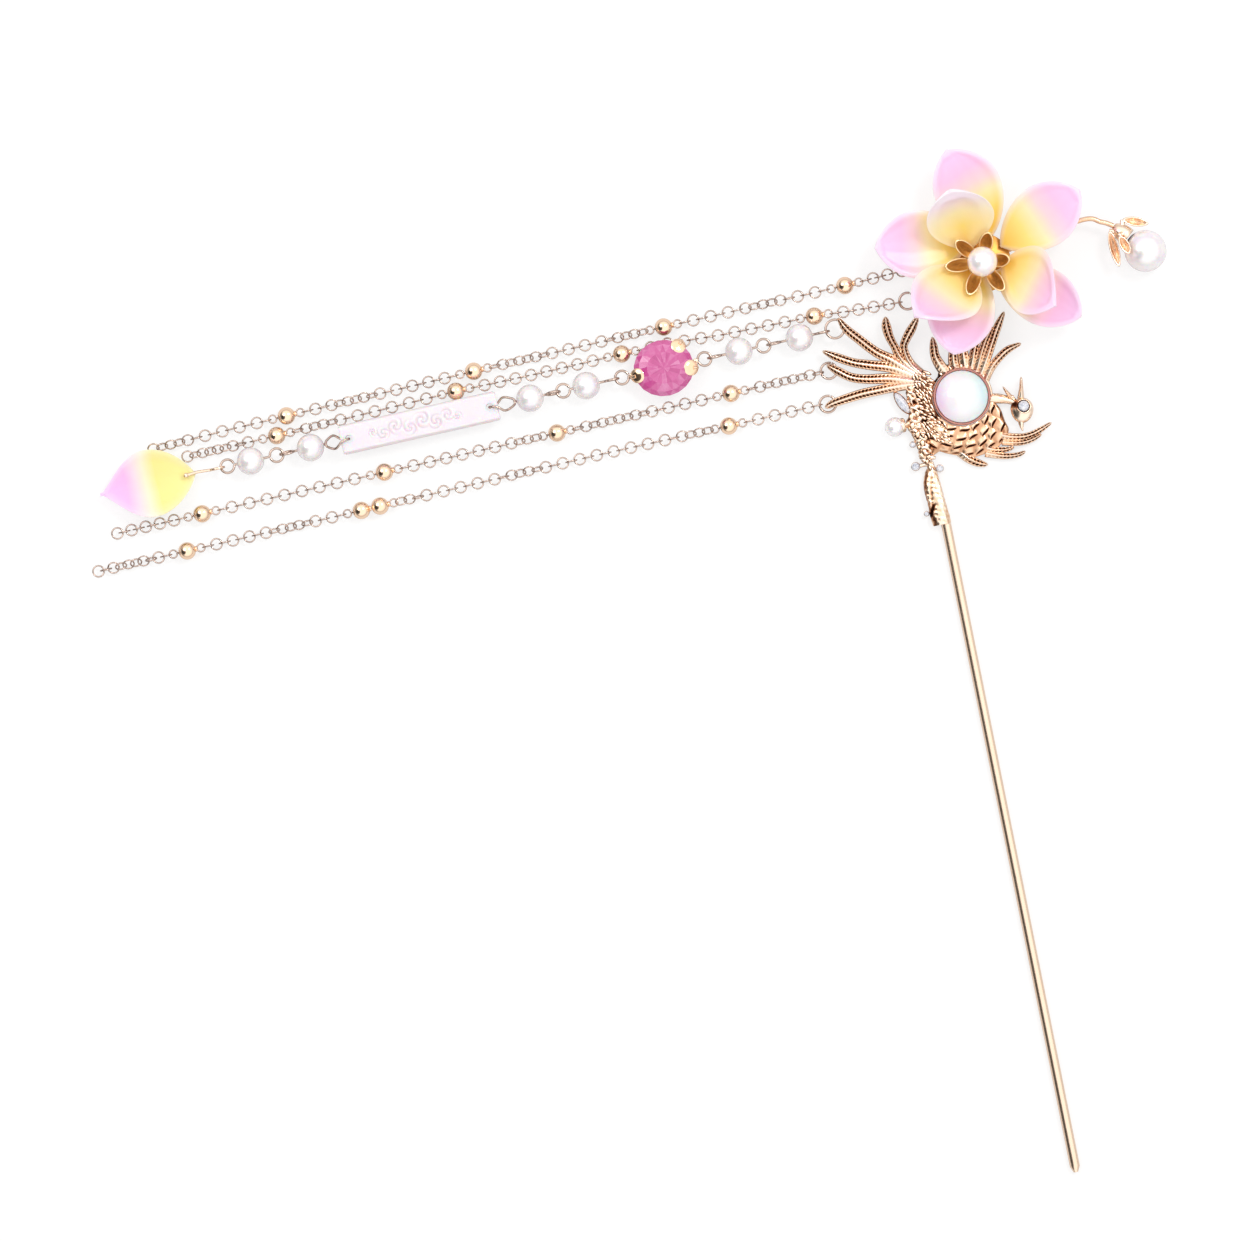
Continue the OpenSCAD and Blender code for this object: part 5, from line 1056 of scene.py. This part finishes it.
# Bud: a cup with three hollow sepals on the stem's end, and a large pearl
bud = {"foot": (44.4, 51.9), "pearl": (49.7, 45.7), "diameter": 8.4, "sepalWidth": 1.9}
# Sepals. Columns: x, y, height, azimuth, length
sepals = [(43.4, 51.0, 4.0, 274, 7.4), (46.4, 52.7, 4.2, -20, 5.2), (45.0, 49.6, 7.0, -72, 4.2)]


def budParts():
    # A cup round the pearl's near side, and stalks from the cup's wall out to the sepals
    foot = np.array([*bud["foot"], frameHeight])
    way = unit(np.array([*bud["pearl"], bud["diameter"] / 2]) - foot)
    profile = [(0.6, 0.1), (0.85, 0.3), (1.35, 1.0), (1.75, 2.0), (1.85, 3.0)]
    profile += [(1.8, 3.75), (1.5, 3.7), (1.3, 3.2), (0.6, 2.9), (0.01, 2.9)]
    # Painted shade, deepest on the cup's inside
    shade = [0.3, 0.2, 0.0, 0.0, 0.1, 0.0, 0.5, 0.8, 1.0, 1.0]
    made = [placed(lathe(profile, 36, shade), foot, aim(way))]
    for x, y, z, azimuth, length in sepals:
        root, end = foot + 2.2 * way, np.array([x, y, z + 0.4])
        made.append(rod([root, (root + end) / 2 + (0, 0, 0.2), end], 6, (0.65, 0.45)))
        made.append(placed(leafPart(length, bud["sepalWidth"], 0.25, 0.2), (x, y, z), rotation(z=azimuth)))
    return made


makePiece("budCup", budParts(), birdMetal, "bud_cap")
part = placed(ball(bud["diameter"], 0.0, 44, 64), (*bud["pearl"], bud["diameter"] / 2))
makePiece("budPearlBead", [part], pearlCoat, "bud_pearl")
print("flower and bud")


# Jump rings, cut open by a hair
ringWire = 0.5
for node, (x, y, radius) in rings.items():
    height = strandHeight if node == "ring_5" else chainHeight
    turn = np.radians(np.linspace(64, 64 + 355, 60))
    rise = 0.03 * np.sin(turn / 2)
    path = np.stack([x + radius * np.cos(turn), y + radius * np.sin(turn), height + rise], -1)
    makePiece("jumpRing" + node[-1], [wire(path, ringWire / 2)], wireMetal, node)


# Chains: round links that hang in each other, with gold beads between them
link = {"diameter": 2.57, "wire": 0.32, "around": 14, "about": 6, "gap": 0.12, "twist": 43, "lift": 8}
linkRadius = (link["diameter"] - link["wire"]) / 2
bead = {"diameter": 3.5, "bore": 0.7, "eye": 1.9, "apart": 0.35, "stub": 0.3}
collarProfile = [(0.2, 0), (0.5, 0), (0.62, 0.12), (0.55, 0.3), (0.2, 0.3)]
# Routes and the beads' places, as in the solids. Columns of a bead: x, number side by side. Columns of a
# tight stretch, where the chain is twisted: x of its middle, half its length
chains = {
    "chain_1": {
        "route": [(5, 51.6), (-10.5, 50.8), (-47.7, 49.8), (-86.7, 48.6), (-125.2, 47.2), (-138.7, 46.7),
                  (-153, 45.9)],
        "beads": [(-10.5, 1), (-47.7, 1), (-86.7, 1), (-125.2, 1)], "ring": "ring_1", "end": -152.6,
        "tight": [(-149, 6), (-111.5, 7), (-77, 8), (-54.5, 6), (-27, 6)],
    },
    "chain_2": {
        "route": [(1, 45.3), (-10, 45.6), (-17.7, 46.0), (-37, 46.0), (-47, 46.4), (-52, 46.3), (-75, 45.6),
                  (-91, 45.35), (-115, 44.3), (-127.9, 43.7), (-147, 43.1)],
        "beads": [(-17.7, 1), (-57, 1), (-91, 1), (-127.9, 1)], "ring": "ring_2", "end": -146.2,
        "tight": [(-141, 8), (-119.5, 6)],
    },
    "chain_3": {
        "route": [(-17, 34.7), (-37.1, 34.1), (-72.8, 33.2), (-108.2, 32.3), (-145.6, 31.3), (-163, 30.8)],
        "beads": [(-37.1, 1), (-72.8, 1), (-108.2, 1), (-145.6, 1)], "ring": "ring_3", "end": -163,
        "tight": [(-78.5, 5), (-61, 11), (-25.5, 9)],
    },
    "chain_4": {
        "route": [(-18.5, 28.4), (-38.8, 27.8), (-65, 27.3), (-89, 26.5), (-133, 25.1), (-150, 24.6),
                  (-168.2, 24.1)],
        "beads": [(-38.8, 1), (-112.3, 2), (-150, 1)], "ring": "ring_4", "end": -168.2,
        "tight": [(-161.5, 6), (-128.5, 6), (-105.5, 4), (-81, 5), (-45, 6)],
    },
}


def halfRun(count):
    # Half of what beads side by side take on their wire, with the wire's stubs at both ends
    return (count * bead["diameter"] + (count - 1) * bead["apart"]) / 2 + bead["stub"]


def beadReach(count):
    # Half of what beads and their eyes take, up to the middle of the next link
    return halfRun(count) + bead["eye"] - 2 * link["wire"] - link["gap"] + linkRadius


def onChain(chain, x):
    # Places on the route at x, lifted to the middles of beads near them, and the direction there in degrees
    route = np.asarray(chain["route"], float)[::-1].T
    rise = np.interp(x + 0.5, *route) - np.interp(x - 0.5, *route)
    lift = np.zeros_like(x)
    for at, count in chain["beads"]:
        away = np.clip((np.abs(x - at) - (count - 1) * bead["diameter"] / 2) / link["lift"], 0, 1)
        lift = np.maximum(lift, np.cos(np.pi / 2 * away) ** 2)
    height = chainHeight + (bead["diameter"] / 2 - chainHeight) * lift
    return np.stack([x, np.interp(x, *route), height], -1), np.degrees(np.arctan(rise))


def chainRoll(chain, x):
    # The chain's twist: in each tight stretch it rises and falls as a power of a squared cosine
    roll = np.zeros_like(x)
    for middle, reach in chain["tight"]:
        roll = np.maximum(roll, np.cos(np.pi / 2 * np.clip(np.abs(x - middle) / reach, 0, 1)) ** 2)
    return link["twist"] * roll ** 0.7


def chainParts(chain):
    # Links at even steps from the ring to the first beads, on to the next ones and to the end, each a
    # quarter turn from its neighbours. A link beside an eye or a ring is upright and the last one lies flat,
    # so the last stretch has an odd number of steps
    ringX, _, ringRadius = rings[chain["ring"]]
    first = ringX - ringRadius + (ringWire + link["wire"]) / 2 + link["gap"] - linkRadius
    pitch = 2 * linkRadius - link["wire"] - link["gap"]
    starts = [first] + [x - beadReach(n) for x, n in chain["beads"]]
    ends = [x + beadReach(n) for x, n in chain["beads"]] + [chain["end"]]
    places, rolls = [], []
    for start, end in zip(starts, ends):
        odd = end == chain["end"]
        steps = 2 * math.ceil(((start - end) / pitch - odd) / 2) + odd
        i = np.arange(steps + 1)
        x = start + (end - start) * i / steps
        places.append(x)
        rolls.append(90 * ((i + 1) % 2) + chainRoll(chain, x))
    at, yaw = onChain(chain, np.concatenate(places))
    turns = np.array([rotation(x=roll, z=way) for roll, way in zip(np.concatenate(rolls), yaw)])
    linksPart = copies(torus(linkRadius, link["wire"], link["around"], link["about"]), turns, at)
    beadsMade, pins = [], []
    eye = (bead["eye"] - link["wire"]) / 2
    for x, count in chain["beads"]:
        spot, yaw = onChain(chain, np.array([float(x)]))
        turn = rotation(x=chainRoll(chain, np.array([float(x)]))[0], z=yaw[0])
        for i in range(count):
            shift = (i - (count - 1) / 2) * (bead["diameter"] + bead["apart"])
            sphere = placed(ball(bead["diameter"], bead["bore"]), (shift, 0, 0), rotation(y=90))
            collarAt = (shift + bead["diameter"] / 2 - 0.06, 0, 0)
            collar = placed(lathe(collarProfile, 16), collarAt, rotation(y=90))
            beadsMade += [placed(sphere, spot[0], turn), placed(collar, spot[0], turn)]
        end = halfRun(count)
        made = [wire([(-end, 0, 0), (0, 0, 0), (end, 0, 0)], link["wire"] / 2, 8)]
        made += [placed(torus(eye, link["wire"], 20, 8), (side * (end + eye), 0, 0)) for side in (-1, 1)]
        pins += [placed(p, spot[0], turn) for p in made]
    return linksPart, beadsMade, pins


for node, chain in chains.items():
    linksPart, beadsMade, pins = chainParts(chain)
    makePiece("links" + node[-1], [linksPart] + pins, wireMetal, node)
    makePiece("beads" + node[-1], beadsMade, beadMetal, node)
print("chains")


# Middle strand: pearls on eye pins, the crystal, the carved bar and the petal drop
strand = {"at": (-84.2, 40.88), "turn": 1.33, "pearl": 5.5, "wire": 0.5, "eye": 3.2, "gap": 0.12}
hooks = [-15.75, -27.8, -39.9, -58.9, -70.95, -127.6, -139.75]
# Columns: x, hook on the right, roll of that eye, hook on the left, roll of that eye
pearlRows = [
    (-21.5, 0, 90, 1, 84), (-33.9, 1, 0, 2, 84), (-65.2, 3, 90, 4, 0),
    (-76.7, 4, 80, -1, 0), (-121.7, -1, 0, 5, 80), (-134.0, 5, 0, 6, 8),
]
eyeRadius = (strand["eye"] - strand["wire"]) / 2
hookGap = strand["wire"] + strand["gap"]
bar = {
    "x": -99.4, "length": 32.2, "width": 6.0, "thick": 3.4, "lift": 0.5,
    "holeIn": 1.7, "hole": 1.4, "loopSide": 1.95,
}
barHoles = {side: bar["x"] + side * (bar["length"] / 2 - bar["holeIn"]) for side in (-1, 1)}
loopNeck = strand["pearl"] / 2 + 0.4


def strandY(x):
    return strand["at"][1] + (x - strand["at"][0]) * math.tan(math.radians(strand["turn"]))


def onStrand(part, x):
    return placed(part, (x, strandY(x), strandHeight), rotation(z=strand["turn"]))


def eyePin(reach, side, roll):
    # Along the axis to the ring's near side, over a short bend, and round to just short of itself
    near = reach - 2 * eyeRadius
    neck = [(0.0, 0.0), (near * 0.5, 0.0), (near - 0.3, 0.0), (near - 0.02, 0.16)]
    turn = np.radians(np.linspace(158, -166, 44))
    loop = np.stack([reach - eyeRadius + eyeRadius * np.cos(turn), eyeRadius * np.sin(turn)], -1)
    flat = np.vstack([smoothLine(np.vstack([neck, loop[:1]]), 6)[:-1], loop])
    part = wire(np.column_stack([flat, np.zeros(len(flat))]), strand["wire"] / 2)
    return placed(part, turn=rotation(x=roll, z=0 if side > 0 else 180))


def barLoop(reach, side):
    # The wire's way from the pearl over the bar, down its hole and back below, as a smooth closed line
    lift = bar["thick"] / 2 + strand["wire"] / 2 + strand["gap"] + 0.05
    out, sink, wide = bar["holeIn"] + 0.5, bar["lift"], bar["loopSide"]
    route = [
        (0, 0, 0), (0.1, 0, lift * 0.7), (0.75, 0.1, lift + 0.02), (out * 0.75, 0.4, lift),
        (out + 0.8, wide * 0.7, lift * 0.75), (reach - 0.3, wide * 0.35, -sink + 0.35), (reach, 0, -sink),
        (reach - 0.3, -wide * 0.35, -sink - 0.35), (out + 0.8, -wide * 0.7, -lift * 0.8),
        (out * 0.75, -0.4, -lift), (0.75, -0.1, -lift - 0.02), (0.1, 0, -lift * 0.7),
    ]
    path = smoothLine([(side * x, -y, z) for x, y, z in route], 7, True)
    way = np.roll(path, -1, 0) - np.roll(path, 1, 0)
    across = np.cross(way, path - (side * reach / 2, 0, 0))
    return wire(path, strand["wire"] / 2, closed=True, up=across)


for index, (x, right, rightRoll, left, leftRoll) in enumerate(pearlRows):
    part = placed(ball(strand["pearl"], 0.6, 36, 48), turn=rotation(y=90))
    makePiece(f"strandPearl{index + 1}", [onStrand(part, x)], pearlCoat, f"pearl_{index + 1}")
    ends = [end for end in ((right, 1, rightRoll), (left, -1, leftRoll)) if end[0] >= 0]
    parts = [onStrand(eyePin(abs(hooks[hook] - x) + hookGap / 2, side, roll), x) for hook, side, roll in ends]
    if len(ends) == 1:
        side = -ends[0][1]
        holeX = barHoles[-side]
        neck = [(0, 0, 0), (side * loopNeck / 2, 0, 0), (side * (loopNeck + 0.1), 0, 0)]
        loop = placed(barLoop(abs(holeX - x) - loopNeck, -side), (0, 0, bar["lift"]))
        parts += [onStrand(wire(neck, strand["wire"] / 2), x), onStrand(loop, holeX)]
    makePiece(f"eyePin{index + 1}", parts, wireMetal, f"pearl_pin_{index + 1}")


# Scrolls of the bar. Columns: x from its middle, y, size
scrolls = [
    (-9.4, 0.2, 1.1), (-7.4, -0.5, 1.6), (-4.8, 0.5, 2.0), (-2.0, -0.5, 1.9), (0.7, 0.5, 2.1),
    (3.4, -0.4, 1.9), (5.9, 0.4, 1.7), (7.8, -0.2, 1.1),
]


def barPart():
    # A round rod with two flats, its ends rounded. On its top are carved scrolls: spirals about points along
    # the bar, with an arm where distance and angle add up to a whole turn, and a cut beside each arm
    n, m = 420, 72
    s = np.linspace(-1, 1, n)[:, None]
    x = bar["length"] / 2 * np.sign(s) * (1 - (1 - np.abs(s)) ** 1.25)
    toEnd = bar["length"] / 2 - np.abs(x)
    rounding = np.sqrt(np.clip(1 - (1 - np.minimum(toEnd / 0.8, 1)) ** 2, 0, 1)) * 0.16 + 0.84
    rounding = np.where(toEnd <= 0, 0.6, rounding)
    a = 2 * np.pi * np.arange(m)[None, :] / m
    y = bar["width"] / 2 * np.cos(a) * rounding
    z = np.clip(bar["width"] / 2 * np.sin(a), -bar["thick"] / 2, bar["thick"] / 2) * rounding
    raised, nearest = np.zeros_like(z), np.full_like(z, 9.0)
    for k, (middleX, middleY, size) in enumerate(scrolls):
        dx, dy = x - middleX, y - middleY
        radius, angle = np.hypot(dx, dy) / size, np.arctan2(dy, dx) * (1 if k % 2 else -1)
        arm = np.cos(2 * np.pi * radius / 0.55 + 2 * angle + 0.9 * k) * np.clip((1 - radius) / 0.3, 0, 1)
        raised = np.where(radius < nearest, arm, raised)
        nearest = np.minimum(nearest, radius)
    top = (np.sin(a) > 0.3) * np.clip((2.3 - np.abs(y)) / 0.3, 0, 1)
    z = z + 0.16 * raised * top
    # The low parts of the carving get painted shade
    return skinOf(np.stack([x + 0 * a, y, z], -1), marks={"hollow": np.clip(-0.6 * raised * top, 0, 1)})


part = onStrand(placed(barPart(), (0, 0, bar["lift"])), bar["x"])
barPiece = makePiece("carvedBar", [part], shellGlass, "carved_bar", crease=60)
for holeX in barHoles.values():
    bore(barPiece, onStrand(lathe([(bar["hole"] / 2, -3), (bar["hole"] / 2, 4)], 32), holeX))
print("bar")


# Crystal and its claws
crystal = {"x": -49.3, "length": 11.8, "width": 11.0, "height": 4.0, "lift": 1.8, "swell": 1.025}
# Columns: share of the size, share of the height, half step of the turn
crystalBelts = [
    (0.5, 0, 0), (0.86, 0.22, 1), (1, 0.42, 0), (1, 0.5, 0), (0.84, 0.74, 1), (0.56, 0.93, 0), (0.2, 1, 1),
]
crystalRows = [(share, crystal["height"] * z, halves) for share, z, halves in crystalBelts]
crystalCut = gem(crystalRows, 20, crystal["length"] * crystal["swell"], crystal["width"] * crystal["swell"])
part = onStrand(placed(crystalCut, (0, 0, crystal["lift"] - strandHeight)), crystal["x"])
makePiece("pinkCrystal", [part], pinkGlass, "crystal", facetSeed=21)
# Claws. Columns: angle, radius of the tab
claws = [(44, 1.55), (184, 1.5), (-12, 1.6)]


def clawParts(angle, tab):
    # An arm from the back plate out round the girdle and up, and a round tab that leans in over the crystal
    c, s = math.cos(math.radians(angle)), math.sin(math.radians(angle))
    out = 1 / math.hypot(c * 2 / crystal["length"], s * 2 / crystal["width"]) + 0.62
    top = crystal["height"] * 0.6 + 0.75
    arm = [(2.2, 0, 0.2), (out * 0.75, 0, 0.55), (out, 0, 1.7), (out - 0.05, 0, top - 0.4)]
    arm.append((out - 0.75, 0, top + 0.15))
    profile = [(0.01, -0.18), (tab * 0.9, -0.16), (tab, -0.02), (tab * 0.9, 0.12), (tab * 0.5, 0.24)]
    profile.append((0.01, 0.28))
    # Painted shade on the tab, most on its underside
    disc = lathe(profile, 28, [0.5, 0.3, 0.0, 0.1, 0.25, 0.2])
    return [rod(arm, 8, 0.42, up=(0, 1, 0)), placed(disc, (out - 1.0, 0, top + 0.18), rotation(y=24))]


def settingParts():
    # A back plate, a cross bar with a post at each end, and the claws
    plate = crystal["lift"] - strandHeight - 0.6
    edge = crystal["length"] / 2 + 0.65
    disc = lathe([(0.01, 0), (2.6, 0), (2.64, 0.05), (2.64, 0.5), (2.6, 0.55), (0.01, 0.55)], 48)
    made = [placed(disc, (0, 0, plate)), wire([(x, 0, plate + 0.3) for x in (-edge, 0, edge)], 0.27, 10)]
    for angle, tab in claws:
        made += [placed(p, (0, 0, plate), rotation(z=angle)) for p in clawParts(angle, tab)]
    post = lathe([(0.01, plate), (0.48, plate), (0.5, 0.5), (0.42, 0.6), (0.01, 0.62)], 20)
    made += [placed(post, (side * edge, 0, 0)) for side in (-1, 1)]
    return [onStrand(p, crystal["x"]) for p in made]


makePiece("crystalClaws", settingParts(), beadMetal, "crystal_setting", crease=60)
eyesMade = [eyePin(abs(hooks[k] - crystal["x"]) + hookGap / 2, side, 0) for k, side in ((2, 1), (3, -1))]
makePiece("crystalEyes", [onStrand(p, crystal["x"]) for p in eyesMade], wireMetal, "crystal_setting")

# The petal at the strand's end, and its pin
drop = {"x": -155.1, "height": 1.35, "cup": 2.6, "holeIn": 1.9, "hole": 0.9, "ball": 1.1}
dropBase = drop["x"] + dropForm[0] / 2
holeX = dropBase - drop["holeIn"]
dropShape = petalPart(dropForm, (2, 4, drop["cup"], 0, 1), 0.15, 0.9)
part = onStrand(placed(dropShape, (0, 0, drop["height"] - strandHeight), rotation(z=180)), dropBase)
dropPiece = makePiece("dropPetal", [part], dropGlass, "petal_drop")
bore(dropPiece, onStrand(lathe([(drop["hole"] / 2, -6), (drop["hole"] / 2, 6)], 28), holeX))
ballHeight = drop["height"] + petal["thick"] / 2 + drop["ball"] / 2 + 0.25 - strandHeight
dropEye = placed(torus(eyeRadius, strand["wire"], 40, 12), (hookGap / 2 - eyeRadius, 0, 0), rotation(x=90))
toHole = holeX - hooks[6]
stemPoints = [(hookGap / 2 - 2 * eyeRadius, 0, 0), (toHole / 2 - 1.4, 0.18, ballHeight / 2)]
stemPoints.append((toHole, 0, ballHeight))
# The peg ends in a foot under the drop, 0.2 mm above the table
pegFoot = 0.2 - strandHeight
pegProfile = [(0.01, pegFoot), (0.55, pegFoot), (0.55, pegFoot + 0.25), (0.25, pegFoot + 0.26)]
peg = lathe(pegProfile + [(0.25, ballHeight), (0.01, ballHeight)], 20)
knob = placed(ball(drop["ball"], 0, 16, 24), (0, 0, ballHeight))
parts = [onStrand(dropEye, hooks[6]), onStrand(rod(stemPoints, 10, 0.29), hooks[6])]
parts += [onStrand(peg, holeX), onStrand(knob, holeX)]
makePiece("dropPin", parts, stickMetal, "petal_drop_pin", crease=50)
print("strand")


# Floor and light: a white table. Polished things see a bright ceiling, dark walls and a dim table
floorMesh = bpy.data.meshes.new("floor")
studio = {
    "soft": 0.8, "ceiling": 1.3, "walls": 0.55,     # what matt surfaces, and what polished ones, get back
    "darkCard": (-0.7, -0.14, 0.66), "cardGlow": 0.1, "leftWall": 0.3, "sky": (1.0, 0.985, 0.97, 1),
    "floor": 3.0, "aim": (-0.04, 0.03, 0.0),        # half the floor's side, and the lamps' aim, in metres
}
corners = np.array([(-1, -1, 0), (1, -1, 0), (1, 1, 0), (-1, 1, 0)]) * studio["floor"]
corners = corners + (0, 0, tableHeight * mm)
floorMesh.from_pydata(corners, [], [(0, 1, 2, 3)])
floor = bpy.data.objects.new("floor", floorMesh)
bpy.context.scene.collection.objects.link(floor)
floorPaper, floorTree, floorShader = newMaterial("white backdrop paper", {
    "Roughness": 0.9, "Specular IOR Level": 0.1, "Emission Color": (1, 1, 1, 1),
})
# The camera sees a grey that its own glow makes white, polished things a warmer one, and the rest paper
ray = addNode(floorTree, "ShaderNodeLightPath", {}).outputs
tone = mixed(floorTree, ray["Is Glossy Ray"], (0.92, 0.92, 0.92, 1), (0.76, 0.74, 0.73, 1))
tone = mixed(floorTree, ray["Is Camera Ray"], tone, (0.3, 0.3, 0.3, 1))
floorTree.links.new(tone, floorShader.inputs["Base Color"])
floorTree.links.new(product(floorTree, ray["Is Camera Ray"], 0.72), floorShader.inputs["Emission Strength"])
floorMesh.materials.append(floorPaper)

# The sky's strength by direction: for polished things a bright ceiling falls off to the walls, the wall on
# the left is darker, and a round dark card hangs in the sky
world = bpy.data.worlds.new("studio")
bpy.context.scene.world = world
world.use_nodes = True
skyTree = world.node_tree
background = skyTree.nodes["Background"]
ray = addNode(skyTree, "ShaderNodeLightPath", {}).outputs
direction = addNode(skyTree, "ShaderNodeTexCoord", {}).outputs["Generated"]
axes = addNode(skyTree, "ShaderNodeSeparateXYZ", {"Vector": direction}).outputs
fall = mapped(skyTree, axes["Z"], (-0.05, 0.62), (studio["walls"], studio["ceiling"]), "SMOOTHSTEP")
card = tuple(unit(np.array(studio["darkCard"])))
dot = {"operation": "DOT_PRODUCT", 0: direction, 1: card}
toward = addNode(skyTree, "ShaderNodeVectorMath", dot).outputs["Value"]
hide = mapped(skyTree, toward, (0.85, 0.92), (1.0, studio["cardGlow"]), "SMOOTHSTEP")
dim = mapped(skyTree, axes["X"], (-0.9, -0.4), (studio["leftWall"], 1.0), "SMOOTHSTEP")
polished = product(skyTree, product(skyTree, fall, dim), hide)
lit = mixed(skyTree, ray["Is Glossy Ray"], studio["soft"], polished, "FLOAT")
skyTree.links.new(mixed(skyTree, ray["Is Camera Ray"], lit, 1.0, "FLOAT"), background.inputs["Strength"])
background.inputs["Color"].default_value = studio["sky"]


def softBox(name, at, size, power):
    # A round lamp at a place in metres. It shines along its own -Z, so its Z points away from its target
    lamp = bpy.data.lights.new(name, "AREA")
    lamp.shape, lamp.size, lamp.energy = "DISK", size, power
    holder = bpy.data.objects.new(name, lamp)
    bpy.context.scene.collection.objects.link(holder)
    x, y, z = unit(np.subtract(at, studio["aim"]))
    holder.location = at
    holder.rotation_euler = (math.acos(z), 0, math.atan2(x, -y))


softBox("key", (0.45, 0.35, 0.9), 0.3, 3.0)
softBox("fill", (-0.7, 0.5, 1.0), 0.8, 3.0)
print("studio")
